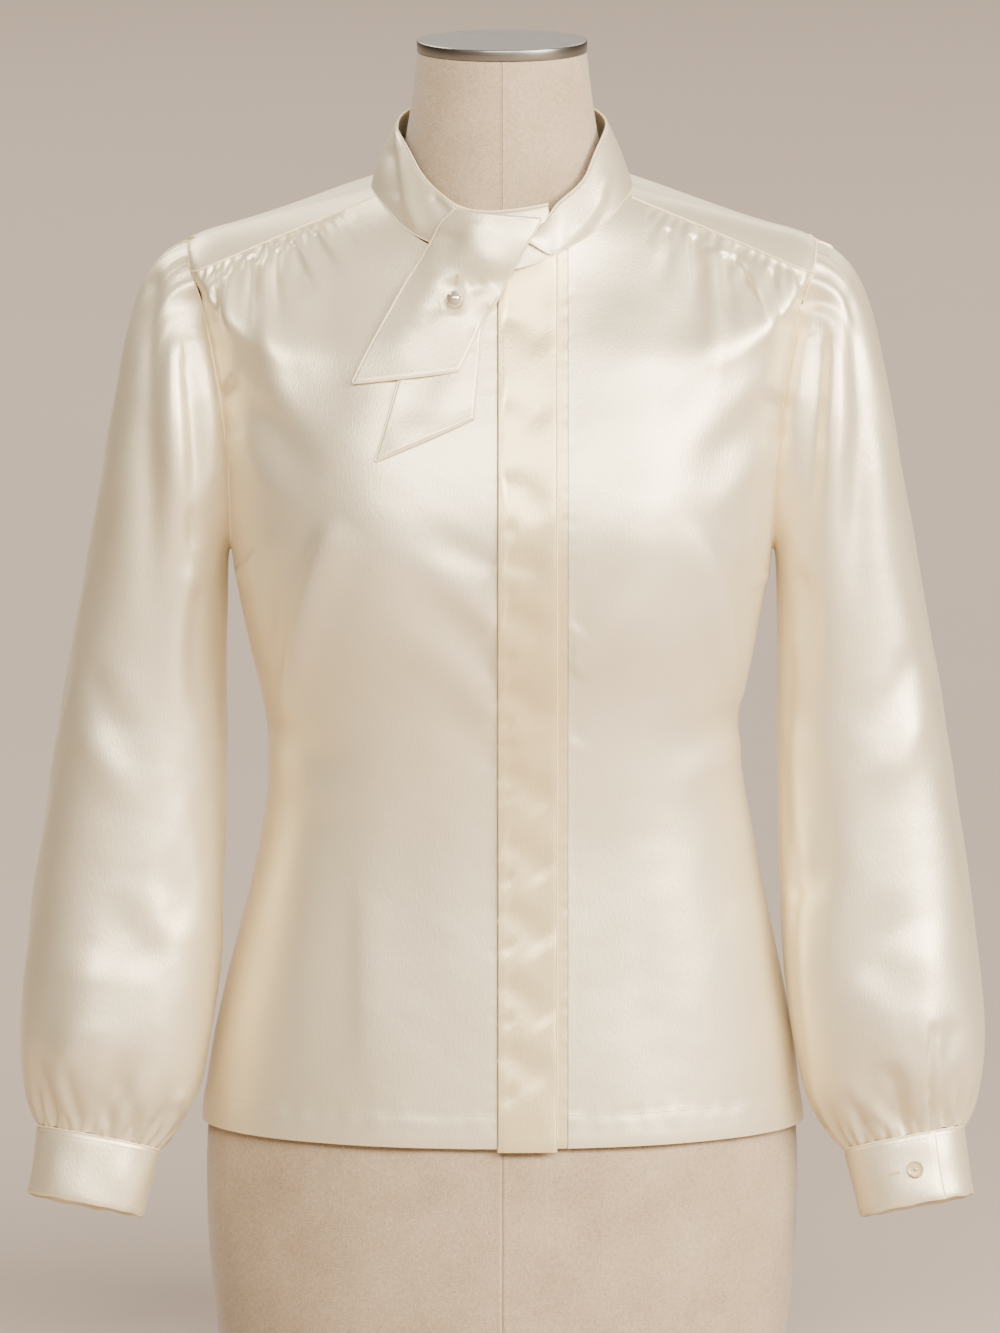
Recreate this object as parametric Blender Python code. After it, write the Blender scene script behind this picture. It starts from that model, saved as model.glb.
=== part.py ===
"""A long-sleeved satin blouse with a tied band collar, worn by a limbless dress form.

The body of the blouse is one surface: smooth rings from the hem to the neck, whose sides climb over the
shoulders.  Every panel is a stretch of that surface between its own seams, made into a wall of cloth.
Angles run round the body from 0 at the centre front to 90 at a side and 180 at the centre back.
Tables are in millimetres and degrees; the model is in metres, +Z up, its origin under the form.
"""

import math

import bmesh
import bpy
import numpy as np

MM = 0.001

# Driving dimensions, in millimetres
WALL = 1.2
CUFF_WALL = 1.6
SEAM = 0.2
PLACKET_EDGES = (-3.0, 35.0)
PLACKET_LIFT = 1.7
PLACKET_DROP = 2.3
BAND_EDGES = (6.0, 42.0)
UNDERARM_HEIGHT = 530.0
YOKE_BACK_HEIGHT = 662.0
YOKE_NECK_ANGLE = 74.0
BUST = {"reach": 86.0, "height": 552.0, "rise": 7.0, "spread_x": 46.0, "spread_z": 70.0}
ARMHOLE_STEPS = 12
YOKE_STEP = 10
SIDE_ROWS = 8
YOKE_ROWS = 6
FORM_CLEARANCE = 5.0
SHOULDER_CLEARANCE = 5.0
PEARL_DIAMETER = 10.4
CUFF_BUTTON_DIAMETER = 11.0

BODY_COLUMNS = ("width", "front", "back", "round", "shift", "z_front", "z_side", "z_back", "lift")
BODY_RINGS = {
    "hem": (193.0, 126.0, 130.0, 2.05, 0.5, 160, 160, 160, 2.0),
    "over_hem": (190.0, 124.0, 128.0, 2.05, 0.5, 183, 183, 183, 2.0),
    "hip": (185.0, 120.0, 124.0, 2.10, 1.0, 217, 217, 217, 2.0),
    "flare": (175.5, 115.0, 115.0, 2.15, 2.0, 262, 262, 262, 2.0),
    "under_waist": (165.0, 110.0, 106.0, 2.20, 3.0, 308, 308, 308, 2.0),
    "low_waist": (156.5, 107.0, 97.0, 2.20, 3.5, 350, 350, 350, 2.0),
    "waist": (151.2, 107.0, 91.0, 2.25, 2.0, 388, 388, 388, 2.0),
    "high_waist": (151.2, 110.0, 89.0, 2.25, 0.5, 418, 418, 418, 2.0),
    "ribs": (158.0, 117.0, 92.0, 2.25, 0.5, 452, 452, 452, 2.0),
    "under_bust": (166.0, 126.0, 97.0, 2.30, 0.0, 488, 488, 488, 2.0),
    "underarm": (173.0, 131.0, 103.0, 2.35, 0.0, 528, 530, 530, 2.0),
    "bust": (177.0, 130.0, 106.0, 2.35, 0.0, 556, 565, 563, 2.0),
    "chest": (181.5, 124.0, 106.0, 2.35, 0.0, 588, 609, 600, 2.5),
    "high_chest": (188.0, 114.0, 104.0, 2.35, 0.0, 620, 656, 636, 3.5),
    "low_tip": (196.0, 104.0, 101.0, 2.30, 0.0, 645, 698, 670, 4.5),
    "tip": (201.5, 96.0, 97.0, 2.30, 0.0, 664, 725, 700, 5.5),
    "shoulder": (174.0, 88.0, 90.0, 2.30, 0.0, 682, 737, 728, 6.5),
    "mid_shoulder": (141.0, 81.0, 82.0, 2.25, 0.0, 699, 746, 750, 6.0),
    "neck_side": (108.0, 77.0, 73.0, 2.20, 0.0, 713, 755, 766, 4.0),
    "neck": (83.5, 75.0, 66.0, 2.15, 0.0, 725, 762, 776, 2.4),
}
# How far out the sleeve seam lies at each height, seen from the front.
ARMHOLE_LINE = {500: 172.5, 543: 173.0, 591: 174.3, 635: 180.0, 685: 189.5, 713: 199.3, 740: 202.0}

SLEEVE_COLUMNS = ("outer_x", "outer_z", "inner_x", "inner_z", "depth", "y_mid", "tilt", "follow")
SLEEVE_RINGS = {
    "seam": (200.0, 725.0, 173.6, 530.0, 52.0, -1.0, 0.0, 1.0),
    "head_1": (209.0, 722.0, 174.2, 529.0, 55.0, 0.0, 0.0, 0.75),
    "head_2": (221.0, 712.5, 174.6, 526.5, 57.0, 1.0, 0.0, 0.45),
    "head_3": (232.5, 692.0, 175.0, 522.0, 58.0, 2.0, 0.0, 0.2),
    "head_4": (242.0, 655.0, 175.2, 513.0, 58.0, 3.0, 0.0, 0.0),
    "upper": (251.5, 603.0, 175.4, 497.0, 57.5, 4.0, 0.0, 0.0),
    "upper_2": (261.5, 546.0, 175.6, 470.0, 57.0, 5.0, 0.5, 0.0),
    "elbow": (272.0, 488.0, 175.8, 434.0, 57.0, 5.0, 1.5, 0.0),
    "elbow_2": (282.5, 425.0, 176.0, 390.0, 58.0, 3.0, 3.5, 0.0),
    "fore": (292.5, 360.0, 177.0, 340.0, 59.0, -1.5, 6.0, 0.0),
    "fore_2": (300.8, 302.0, 178.5, 290.0, 59.5, -8.5, 8.0, 0.0),
    "full": (306.8, 251.0, 182.0, 244.0, 58.5, -17.0, 10.0, 0.0),
    "full_2": (309.0, 213.0, 188.0, 206.0, 54.0, -24.5, 11.0, 0.0),
    "gather": (306.0, 186.0, 196.0, 176.5, 46.0, -30.0, 12.0, 0.0),
    "gather_2": (301.0, 170.0, 207.0, 157.5, 36.0, -33.5, 12.5, 0.0),
    "cuff_seam": (296.0, 160.0, 219.0, 144.5, 27.0, -36.0, 12.5, 0.0),
}
CUFF_RINGS = {
    "top": (296.3, 159.4, 218.7, 143.9, 27.3, -36.1, 12.5, 0.0),
    "middle": (299.0, 138.0, 224.0, 123.0, 27.5, -41.0, 12.5, 0.0),
    "bottom": (302.3, 117.3, 229.7, 102.3, 27.5, -45.6, 12.5, 0.0),
}
# Where each cuff's outer lap ends and how far its two ends overlap, in degrees round the wrist from its
# outer side by the front; the button sits in the middle of the overlap.
CUFF_LAP_ENDS = {"left": 62.0, "right": -68.0}
CUFF_OVERLAP = 48.0

# The collar band from its under end, just past the centre front, round the neck to its upper end.
# "turn" is the angle round the neck; heights are above or below the neck seam where "seam" is 1.
COLLAR_COLUMNS = ("turn", "foot_r", "foot_z", "top_r", "top_z", "seam")
COLLAR_STATIONS = {
    "under_end": (24.0, 80.6, 728.0, 72.6, 759.5, 0),
    "under_2": (14.0, 81.6, 722.0, 71.6, 757.5, 0),
    "under_3": (0.0, 82.4, 719.0, 70.4, 755.5, 0),
    "under_4": (-14.0, 81.4, 722.0, 70.6, 755.5, 0),
    "front_left": (-28.0, 80.0, 731.0, 70.7, 760.5, 0),
    "crease_left": (-42.0, 0, 0, 69.3, 773.5, 1),
    "side_left": (-56.0, 0, 0, 68.3, 786.5, 1),
    "side_left_2": (-72.0, 0, 0, 67.8, 797.5, 1),
    "neck_left": (-90.0, 0, 0, 67.0, 803.0, 1),
    "back_left": (-112.0, 0, 0, 66.0, 807.0, 1),
    "back_left_2": (-136.0, 0, 0, 64.5, 811.0, 1),
    "back_left_3": (-158.0, 0, 0, 63.5, 813.0, 1),
    "centre_back": (-180.0, 0, 0, 63.0, 813.5, 1),
    "back_right_3": (-202.0, 0, 0, 63.5, 813.0, 1),
    "back_right_2": (-224.0, 0, 0, 64.5, 811.0, 1),
    "back_right": (-248.0, 0, 0, 66.0, 807.0, 1),
    "neck_right": (-270.0, 0, 0, 67.0, 803.0, 1),
    "side_right_2": (-288.0, 0, 0, 67.8, 797.0, 1),
    "side_right": (-304.0, 0, 0, 68.6, 785.0, 1),
    "crease_right": (-318.0, 0, 0, 71.2, 771.0, 1),
    "front_right": (-331.0, 83.2, 731.0, 74.6, 760.0, 0),
    "over_2": (-338.5, 83.6, 728.5, 75.8, 750.0, 0),
    "over_3": (-346.0, 83.0, 734.5, 76.8, 745.5, 0),
    "over_end": (-354.0, 80.2, 739.0, 77.6, 744.5, 0),
}

# The two tie ends, row by row down their length: each side edge, and how far they stand off the front.
TAB_COLUMNS = ("left_x", "left_z", "right_x", "right_z", "stand_left", "stand_right")
TIE_UPPER = {
    "fold": (-29.5, 757.5, 25.5, 752.0, 6.0, 9.0),
    "neck": (-37.8, 749.0, 20.6, 743.0, 6.0, 9.0),
    "seam": (-42.6, 741.0, 16.0, 736.0, 6.0, 9.0),
    "under_seam": (-50.8, 726.0, 9.0, 722.5, 6.0, 9.4),
    "pearl_over": (-59.5, 713.5, 2.6, 713.0, 4.6, 8.2),
    "pearl": (-67.8, 699.5, -1.8, 702.5, 4.6, 8.0),
    "pearl_under": (-76.2, 685.0, -11.5, 689.5, 4.8, 7.0),
    "tab": (-85.8, 668.0, -18.6, 675.0, 5.0, 6.4),
    "tip": (-95.4, 649.0, -27.6, 657.5, 5.2, 6.4),
}
TIE_UNDER = {
    "root": (-42.5, 715.0, -3.0, 713.0, 2.4, 4.0),
    "under_pearl": (-48.0, 700.0, -8.0, 700.0, 2.4, 3.8),
    "emerge": (-54.5, 681.0, -12.8, 684.5, 2.4, 3.6),
    "edge": (-62.0, 661.5, -14.6, 666.0, 2.8, 3.6),
    "lower": (-70.0, 636.0, -16.6, 646.0, 2.8, 3.4),
    "point": (-81.0, 601.5, -18.2, 628.5, 3.0, 3.4),
}

FORM_COLUMNS = ("width", "front", "back", "round", "z_front", "z_side", "z_back", "lift")
FORM_BASE = {
    "foot": (179.0, 117.0, 119.0, 2.05, 0, 0, 0, 2.0),
    "foot_2": (182.5, 118.5, 121.0, 2.05, 22, 22, 22, 2.0),
    "foot_3": (187.0, 120.0, 123.0, 2.05, 62, 62, 62, 2.0),
    "foot_4": (189.3, 120.5, 124.0, 2.05, 108, 108, 108, 2.0),
    "foot_5": (188.9, 121.0, 125.0, 2.05, 150, 150, 150, 2.0),
}
FORM_NECK = {
    "neck_base": (71.0, 66.5, 58.5, 2.10, 721, 757, 768, 2.4),
    "neck_low": (65.0, 64.0, 59.0, 2.0, 747, 771, 782, 2.0),
    "neck_mid": (61.0, 61.0, 59.5, 2.0, 787, 796, 800, 2.0),
    "neck_high": (57.6, 57.6, 57.6, 2.0, 818, 818, 818, 2.0),
    "neck_top": (54.0, 54.0, 54.0, 2.0, 848.2, 848.2, 848.2, 2.0),
}
CAP_RADIUS = 54.4
CAP_HEIGHTS = (848.6, 856.0)

COLOURS = {
    "satin": ((0.84, 0.79, 0.69), 0.42, 0.0),
    "linen": ((0.70, 0.62, 0.52), 0.9, 0.0),
    "cap": ((0.62, 0.61, 0.59), 0.35, 1.0),
    "pearl": ((0.85, 0.80, 0.73), 0.18, 0.0),
    "button": ((0.82, 0.74, 0.62), 0.3, 0.0),
}


def spline(knots, values, at):
    """Natural cubic spline through the rows of values."""
    knots = np.asarray(knots, float)
    values = np.asarray(values, float)
    gaps = np.diff(knots)
    count = len(knots)
    system = np.eye(count)
    right = np.zeros_like(values)
    for i in range(1, count - 1):
        system[i, i - 1 : i + 2] = gaps[i - 1], 2 * (gaps[i - 1] + gaps[i]), gaps[i]
        right[i] = 6 * ((values[i + 1] - values[i]) / gaps[i] - (values[i] - values[i - 1]) / gaps[i - 1])
    bend = np.linalg.solve(system, right)
    at = np.clip(np.asarray(at, float), knots[0], knots[-1])
    low = np.clip(np.searchsorted(knots, at, side="right") - 1, 0, count - 2)
    gap = gaps[low][..., None]
    before = (knots[low + 1] - at)[..., None] / gap
    after = 1 - before
    curve = (before**3 - before) * bend[low] + (after**3 - after) * bend[low + 1]
    return before * values[low] + after * values[low + 1] + curve * gap**2 / 6


class Rings:
    """A surface through a table of rings; "run" is the distance up it from the first one."""

    def __init__(self, columns, table):
        self.columns = columns
        self.values = np.array(list(table.values()), float)
        column = {name: self.values[:, i] for i, name in enumerate(columns)}
        side = np.hypot(np.diff(column["width"]), np.diff(column["z_side"]))
        front = np.hypot(np.diff(column["front"]), np.diff(column["z_front"]))
        self.runs = np.concatenate([[0.0], np.cumsum((side + front) / 2)])
        self.run_of = dict(zip(table, self.runs))

    def at(self, run):
        """Every column's value at a run."""
        values = spline(self.runs, self.values, run)
        return {name: values[..., i] for i, name in enumerate(self.columns)}

    def point(self, angle, run):
        """The surface's point, in millimetres, at an angle in radians and a run."""
        ring = self.at(run)
        sine, cosine = np.sin(angle), np.cos(angle)
        power = 2.0 / ring["round"]
        front = cosine >= 0
        shift = ring.get("shift", 0.0)
        x = shift + ring["width"] * np.sign(sine) * np.abs(sine) ** power
        depth = np.where(front, ring["front"], ring["back"])
        y = -depth * np.sign(cosine) * np.abs(cosine) ** power
        end = np.where(front, ring["z_front"], ring["z_back"])
        z = end + (ring["z_side"] - end) * np.abs(sine) ** ring["lift"]
        return np.stack(np.broadcast_arrays(x, y, z), axis=-1)


BODY = Rings(BODY_COLUMNS, BODY_RINGS)
NECK_RUN = BODY.runs[-1]


def bust(x, z):
    """How far the bust stands forward at a place on the front."""
    rise = 0.0
    for side in (-1, 1):
        across = (x - side * BUST["reach"]) / BUST["spread_x"]
        up = (z - BUST["height"]) / BUST["spread_z"]
        rise = rise + BUST["rise"] * np.exp(-(across**2) - up**2)
    return rise


def body_point(angle, run):
    """The outer face of the blouse's body."""
    point = BODY.point(angle, run)
    forward = bust(point[..., 0], point[..., 2]) * np.clip(np.cos(angle) * 3, 0, 1)
    point[..., 1] -= forward
    return point


def unit(vector):
    """A vector at length 1."""
    return vector / np.maximum(np.linalg.norm(vector, axis=-1, keepdims=True), 1e-9)


def body_normal(angle, run):
    """The direction out of the body's surface."""
    step = 0.01
    reach = 1.0
    across = body_point(angle + step, run) - body_point(angle - step, run)
    low = np.clip(run - reach, 0, NECK_RUN)
    high = np.clip(run + reach, 0, NECK_RUN)
    up = body_point(angle, high) - body_point(angle, low)
    return unit(np.cross(across, up))


def bisect(low, high, over):
    """Where over() turns true between two arrays."""
    low, high = np.array(low, float), np.array(high, float)
    for _ in range(40):
        middle = (low + high) / 2
        past = over(middle)
        high = np.where(past, middle, high)
        low = np.where(past, low, middle)
    return (low + high) / 2


def angle_at_x(x, run):
    """The angle at which the front lies at x."""
    return bisect(np.full_like(run, -1.2), np.full_like(run, 1.2), lambda a: BODY.point(a, run)[..., 0] > x)


def run_at_height(angle, height):
    """The run at which the surface reaches a height."""
    low = np.zeros_like(angle)
    return bisect(low, low + NECK_RUN, lambda r: body_point(angle, r)[..., 2] > height)


def armhole_x(z):
    """How far out the sleeve seam lies at a height."""
    return np.interp(z, list(ARMHOLE_LINE), list(ARMHOLE_LINE.values()))


def armhole():
    """The sleeve seam's angles and runs: up the front, from the underarm to the tip, and up the back."""
    start = run_at_height(np.array([math.pi / 2]), UNDERARM_HEIGHT)[0]
    middle = BODY.run_of["tip"]
    ridge = bisect([middle], [middle + 30], lambda r: BODY.at(r)["width"] < 200.0)[0]
    steps = np.arange(ARMHOLE_STEPS + 1) / ARMHOLE_STEPS
    runs = start + (ridge - start) * (1 - np.cos(math.pi * steps)) / 2

    def outside(angle):
        """Whether points lie past the armhole's line."""
        point = BODY.point(angle, runs)
        return point[..., 0] > armhole_x(point[..., 2])

    half_pi = np.full_like(runs, math.pi / 2)
    front = bisect(half_pi - 0.9, half_pi, outside)
    back = bisect(half_pi + 0.9, half_pi, outside)
    front[[0, -1]] = math.pi / 2
    back[[0, -1]] = math.pi / 2
    return front, back, runs


class Pattern:
    """The seams of one half of the body, in angles and runs; the other half mirrors it."""

    def __init__(self):
        self.front, self.back, self.runs = armhole()
        heights = body_point(self.back, self.runs)[..., 2]
        self.back_corner = int(np.argmin(np.abs(heights[: YOKE_STEP + 1] - YOKE_BACK_HEIGHT)))
        self.back_height = heights[self.back_corner]
        self.side_runs = np.linspace(0.0, self.runs[0], SIDE_ROWS + 1)
        self.neck_angle = math.radians(YOKE_NECK_ANGLE)

    def front_edge(self):
        """Angles and runs up the front's outer edge: side seam, armhole, yoke seam."""
        seam_angle, seam_run = self.yoke_seam()
        seam_angle, seam_run = seam_angle[1:], seam_run[1:]
        side = np.full(SIDE_ROWS, math.pi / 2)
        angle = np.concatenate([side, self.front[: YOKE_STEP + 1], seam_angle])
        run = np.concatenate([self.side_runs[:-1], self.runs[: YOKE_STEP + 1], seam_run])
        return angle, run

    def yoke_seam(self):
        """Angles and runs of the yoke's front seam, straight in the front view."""
        run = np.linspace(self.runs[YOKE_STEP], NECK_RUN, YOKE_ROWS + 1)
        outer = body_point(self.front[YOKE_STEP], self.runs[YOKE_STEP])
        inner = body_point(self.neck_angle, NECK_RUN)
        slope = (inner[2] - outer[2]) / (inner[0] - outer[0])

        def above(angle):
            """Whether points lie above the seam's line."""
            point = body_point(angle, run)
            return point[..., 2] > outer[2] + slope * (point[..., 0] - outer[0])

        half_pi = np.full_like(run, math.pi / 2)
        angle = bisect(half_pi - 0.9, half_pi, above)
        angle[0], angle[-1] = self.front[YOKE_STEP], self.neck_angle
        return angle, run

    def back_edge(self):
        """Angles and runs up the back's outer edge: side seam and armhole, to the yoke seam."""
        side = np.full(SIDE_ROWS, math.pi / 2)
        angle = np.concatenate([side, self.back[: self.back_corner + 1]])
        run = np.concatenate([self.side_runs[:-1], self.runs[: self.back_corner + 1]])
        return angle, run

    def back_seam(self, count):
        """Angles and runs of the yoke's back seam, from the armhole to the centre back."""
        angle = np.linspace(self.back[self.back_corner], math.pi, count)
        return angle, run_at_height(angle, self.back_height)

    def loop(self):
        """The whole armhole as one loop of angles and runs, from the underarm up the front."""
        angle = np.concatenate([self.front, self.back[-2:0:-1]])
        run = np.concatenate([self.runs, self.runs[-2:0:-1]])
        return angle, run


PATTERN = Pattern()


def pull_in(grid, edges, distance=SEAM):
    """Move a grid's edges back from their seams: u0 and u1 are its first and last columns, v0 and v1 rows."""
    grid = grid.copy()
    if "u0" in edges:
        grid[:, 0] += distance * unit(grid[:, 1] - grid[:, 0])
    if "u1" in edges:
        grid[:, -1] += distance * unit(grid[:, -2] - grid[:, -1])
    if "v0" in edges:
        grid[0] += distance * unit(grid[1] - grid[0])
    if "v1" in edges:
        grid[-1] += distance * unit(grid[-2] - grid[-1])
    return grid


def make_material(name):
    """A plain material in a sub-part's colour."""
    if name in bpy.data.materials:
        return bpy.data.materials[name]
    colour, roughness, metallic = COLOURS[name]
    material = bpy.data.materials.new(name)
    material.use_nodes = True
    shader = material.node_tree.nodes["Principled BSDF"]
    shader.inputs["Base Color"].default_value = (*colour, 1.0)
    shader.inputs["Roughness"].default_value = roughness
    shader.inputs["Metallic"].default_value = metallic
    material.diffuse_color = (*colour, 1.0)
    return material


def make_object(name, points, faces, material):
    """A named object from points in millimetres, its faces turned outwards."""
    mesh = bpy.data.meshes.new(name)
    mesh.from_pydata([tuple(p) for p in np.asarray(points) * MM], [], faces)
    work = bmesh.new()
    work.from_mesh(mesh)
    if work.calc_volume(signed=True) < 0:
        bmesh.ops.reverse_faces(work, faces=work.faces)
    bmesh.ops.triangulate(work, faces=work.faces)
    work.to_mesh(mesh)
    work.free()
    mesh.shade_smooth()
    mesh.set_sharp_from_angle(angle=math.radians(40))
    mesh.materials.append(make_material(material))
    obj = bpy.data.objects.new(name, mesh)
    bpy.context.scene.collection.objects.link(obj)
    return obj


def make_wall(name, outer, inner, material, closed=False):
    """A wall of cloth between two grids; a closed one runs round and joins its last column to its first."""
    rows, columns = outer.shape[:2]
    points = np.concatenate([outer.reshape(-1, 3), inner.reshape(-1, 3)])
    wide = columns if closed else columns - 1

    def at(layer, row, column):
        """The index of a corner."""
        return layer * rows * columns + row * columns + column % columns

    faces = []
    for row in range(rows - 1):
        for col in range(wide):
            face = [(row, col), (row, col + 1), (row + 1, col + 1), (row + 1, col)]
            faces.append([at(0, *corner) for corner in face])
            faces.append([at(1, *corner) for corner in reversed(face)])
    for col in range(wide):
        faces.append([at(1, 0, col), at(1, 0, col + 1), at(0, 0, col + 1), at(0, 0, col)])
        last = rows - 1
        faces.append([at(0, last, col), at(0, last, col + 1), at(1, last, col + 1), at(1, last, col)])
    if not closed:
        for row in range(rows - 1):
            faces.append([at(0, row, 0), at(0, row + 1, 0), at(1, row + 1, 0), at(1, row, 0)])
            end = columns - 1
            faces.append([at(1, row, end), at(1, row + 1, end), at(0, row + 1, end), at(0, row, end)])
    return make_object(name, points, faces, material)


def make_panel(name, angle, run, edges, out=0.0, drop=0.0):
    """A stretch of the body's surface as a wall, moved out by out, its lowest row let down by drop."""
    normal = body_normal(angle, run)
    surface = body_point(angle, run)
    surface[0, :, 2] -= drop
    outer = pull_in(surface + out * normal, edges)
    inner = pull_in(surface + (out - WALL) * normal, edges)
    return make_wall(name, outer, inner, "satin")


def make_front(name, side, from_x, columns):
    """A front, from its join beside the placket to its side seam, armhole and yoke seam."""
    edge_angle, edge_run = PATTERN.front_edge()
    count = len(edge_run)
    rise = (np.arange(count) / (count - 1)) ** 0.94
    inner_run = NECK_RUN * rise
    share = np.linspace(0, 1, columns + 1)
    start_angle = angle_at_x(from_x, inner_run)
    angle = start_angle[:, None] * (1 - share) + side * edge_angle[:, None] * share
    run = inner_run[:, None] * (1 - share) + edge_run[:, None] * share
    return make_panel(name, angle, run, ("u0", "u1", "v1"))


def make_strip(name, edges, columns, out, drop):
    """A straight strip down the centre front between two x."""
    rise = (np.arange(23) / 22) ** 0.94
    runs = NECK_RUN * rise
    grid = [angle_at_x(x, runs) for x in np.linspace(*edges, columns + 1)]
    angle = np.stack(grid, axis=1)
    run = np.repeat(runs[:, None], columns + 1, axis=1)
    return make_panel(name, angle, run, ("u0", "u1", "v1"), out, drop)


def make_back():
    """The back in one piece, from side seam to side seam."""
    edge_angle, edge_run = PATTERN.back_edge()
    seam_angle, seam_run = PATTERN.back_seam(9)
    count = len(edge_run)
    rise = (np.arange(count) / (count - 1)) ** 0.9
    share = np.linspace(0, 1, len(seam_angle))
    middle_run = seam_run[-1] * rise
    angle = edge_angle[:, None] * (1 - share) + math.pi * share
    run = edge_run[:, None] * (1 - share) + middle_run[:, None] * share
    straight = edge_run[-1] * (1 - share) + middle_run[-1] * share
    run += (seam_run - straight) * rise[:, None] ** 2
    angle = np.concatenate([angle, 2 * math.pi - angle[:, -2::-1]], axis=1)
    run = np.concatenate([run, run[:, -2::-1]], axis=1)
    return make_panel("back", angle, run, ("u0", "u1", "v1"))


def make_yoke():
    """The yoke, over both shoulders and across the back."""
    corner, last = YOKE_STEP, ARMHOLE_STEPS
    over = np.arange(last - 1, PATTERN.back_corner - 1, -1)
    seam_angle, seam_run = PATTERN.back_seam(9)
    low_angle = np.concatenate([PATTERN.front[corner : last + 1], PATTERN.back[over], seam_angle[1:]])
    low_run = np.concatenate([PATTERN.runs[corner : last + 1], PATTERN.runs[over], seam_run[1:]])
    count = len(low_angle)
    neck_angle = PATTERN.neck_angle + (math.pi - PATTERN.neck_angle) * (np.arange(count) / (count - 1)) ** 1.1
    share = np.linspace(0, 1, YOKE_ROWS + 1)[:, None]
    angle = low_angle * (1 - share) + neck_angle * share
    run = low_run * (1 - share) + NECK_RUN * share
    front_seam, _ = PATTERN.yoke_seam()
    angle += (front_seam - angle[:, 0])[:, None] * np.linspace(1, 0, count) ** 2
    angle = np.concatenate([angle, 2 * math.pi - angle[:, -2::-1]], axis=1)
    run = np.concatenate([run, run[:, -2::-1]], axis=1)
    return make_panel("yoke", angle, run, ("u0", "u1", "v0", "v1"))


def tube_ring(row, columns, turn):
    """A flattened ring of the sleeve or cuff; turn 0 is its outer side and 90 its front."""
    ring = dict(zip(columns, row))
    outer = np.array([ring["outer_x"], 0.0, ring["outer_z"]])
    inner = np.array([ring["inner_x"], 0.0, ring["inner_z"]])
    middle = (outer + inner) / 2 + np.array([0.0, ring["y_mid"], 0.0])
    across = (outer - inner) / 2
    tilt = math.radians(ring["tilt"])
    to_front = np.array([0.0, -math.cos(tilt), math.sin(tilt)]) * ring["depth"]
    return middle + np.cos(turn)[:, None] * across + np.sin(turn)[:, None] * to_front


def grid_normal(grid, closed):
    """The normals of a grid whose columns run round and rows run down."""
    if closed:
        across = np.roll(grid, -1, axis=1) - np.roll(grid, 1, axis=1)
    else:
        across = np.gradient(grid, axis=1)
    return unit(np.cross(across, np.gradient(grid, axis=0)))


def mirrored(grid, side):
    """A grid for one side of the body: side -1 mirrors it in x."""
    return grid * np.array([side, 1.0, 1.0])


def make_sleeve(name, side):
    """A sleeve from the armhole's loop, through its puffed head, to the gathers at the cuff."""
    loop_angle, loop_run = PATTERN.loop()
    seam = body_point(side * loop_angle, loop_run) * np.array([side, 1.0, 1.0])
    table = list(SLEEVE_RINGS.values())
    first = dict(zip(SLEEVE_COLUMNS, table[0]))
    half = (first["outer_z"] - first["inner_z"]) / 2
    height = (seam[:, 2] - first["inner_z"] - half) / half
    turn = np.arctan2(-(seam[:, 1] - first["y_mid"]) / first["depth"], height)
    flat = tube_ring(table[0], SLEEVE_COLUMNS, turn)
    rings = []
    for row in table:
        follow = row[SLEEVE_COLUMNS.index("follow")]
        rings.append(tube_ring(row, SLEEVE_COLUMNS, turn) + follow * (seam - flat))
    rings[0][:, 0] += 2 * SEAM
    outer = np.array(rings)
    normal = grid_normal(outer, closed=True)
    centre = outer.mean(axis=1, keepdims=True)
    if np.sum(normal * (outer - centre)) < 0:
        normal = -normal
    inner = outer - WALL * normal
    inner[0, :, 0] = np.maximum(inner[0, :, 0], outer[0, :, 0] - 0.1)
    return make_wall(name, mirrored(outer, side), mirrored(inner, side), "satin", closed=True)


def cuff_rings(turn):
    """The cuff's rings at some turns, and the middle of each ring."""
    rings = np.array([tube_ring(row, SLEEVE_COLUMNS, turn) for row in CUFF_RINGS.values()])
    round_turn = np.linspace(0, 2 * math.pi, 25)[:-1]
    whole = np.array([tube_ring(row, SLEEVE_COLUMNS, round_turn) for row in CUFF_RINGS.values()])
    return rings, whole.mean(axis=1)[:, None, :]


def make_cuff(name, side, lap_end):
    """A cuff: a strip that runs once round the wrist and laps over its own start."""
    travel = np.linspace(0.0, 360.0 + CUFF_OVERLAP, 28)
    turn = np.radians(lap_end + CUFF_OVERLAP - travel)
    rings, middle = cuff_rings(turn)
    normal = unit(rings - middle)
    lapped = np.clip((travel - 280.0) / 70.0, 0, 1)
    lift = (CUFF_WALL + 2 * SEAM) * lapped**2 * (3 - 2 * lapped)
    outer = rings + normal * lift[None, :, None]
    inner = outer - normal * CUFF_WALL
    return make_wall(name, mirrored(outer, side), mirrored(inner, side), "satin")


def seam_foot(turn):
    """The collar's foot on the neck seam at a turn round the neck."""
    angle = -np.mod(-np.asarray(turn, float) + math.pi, 2 * math.pi) + math.pi
    point = body_point(angle, np.full_like(angle, NECK_RUN))
    return point


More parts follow.
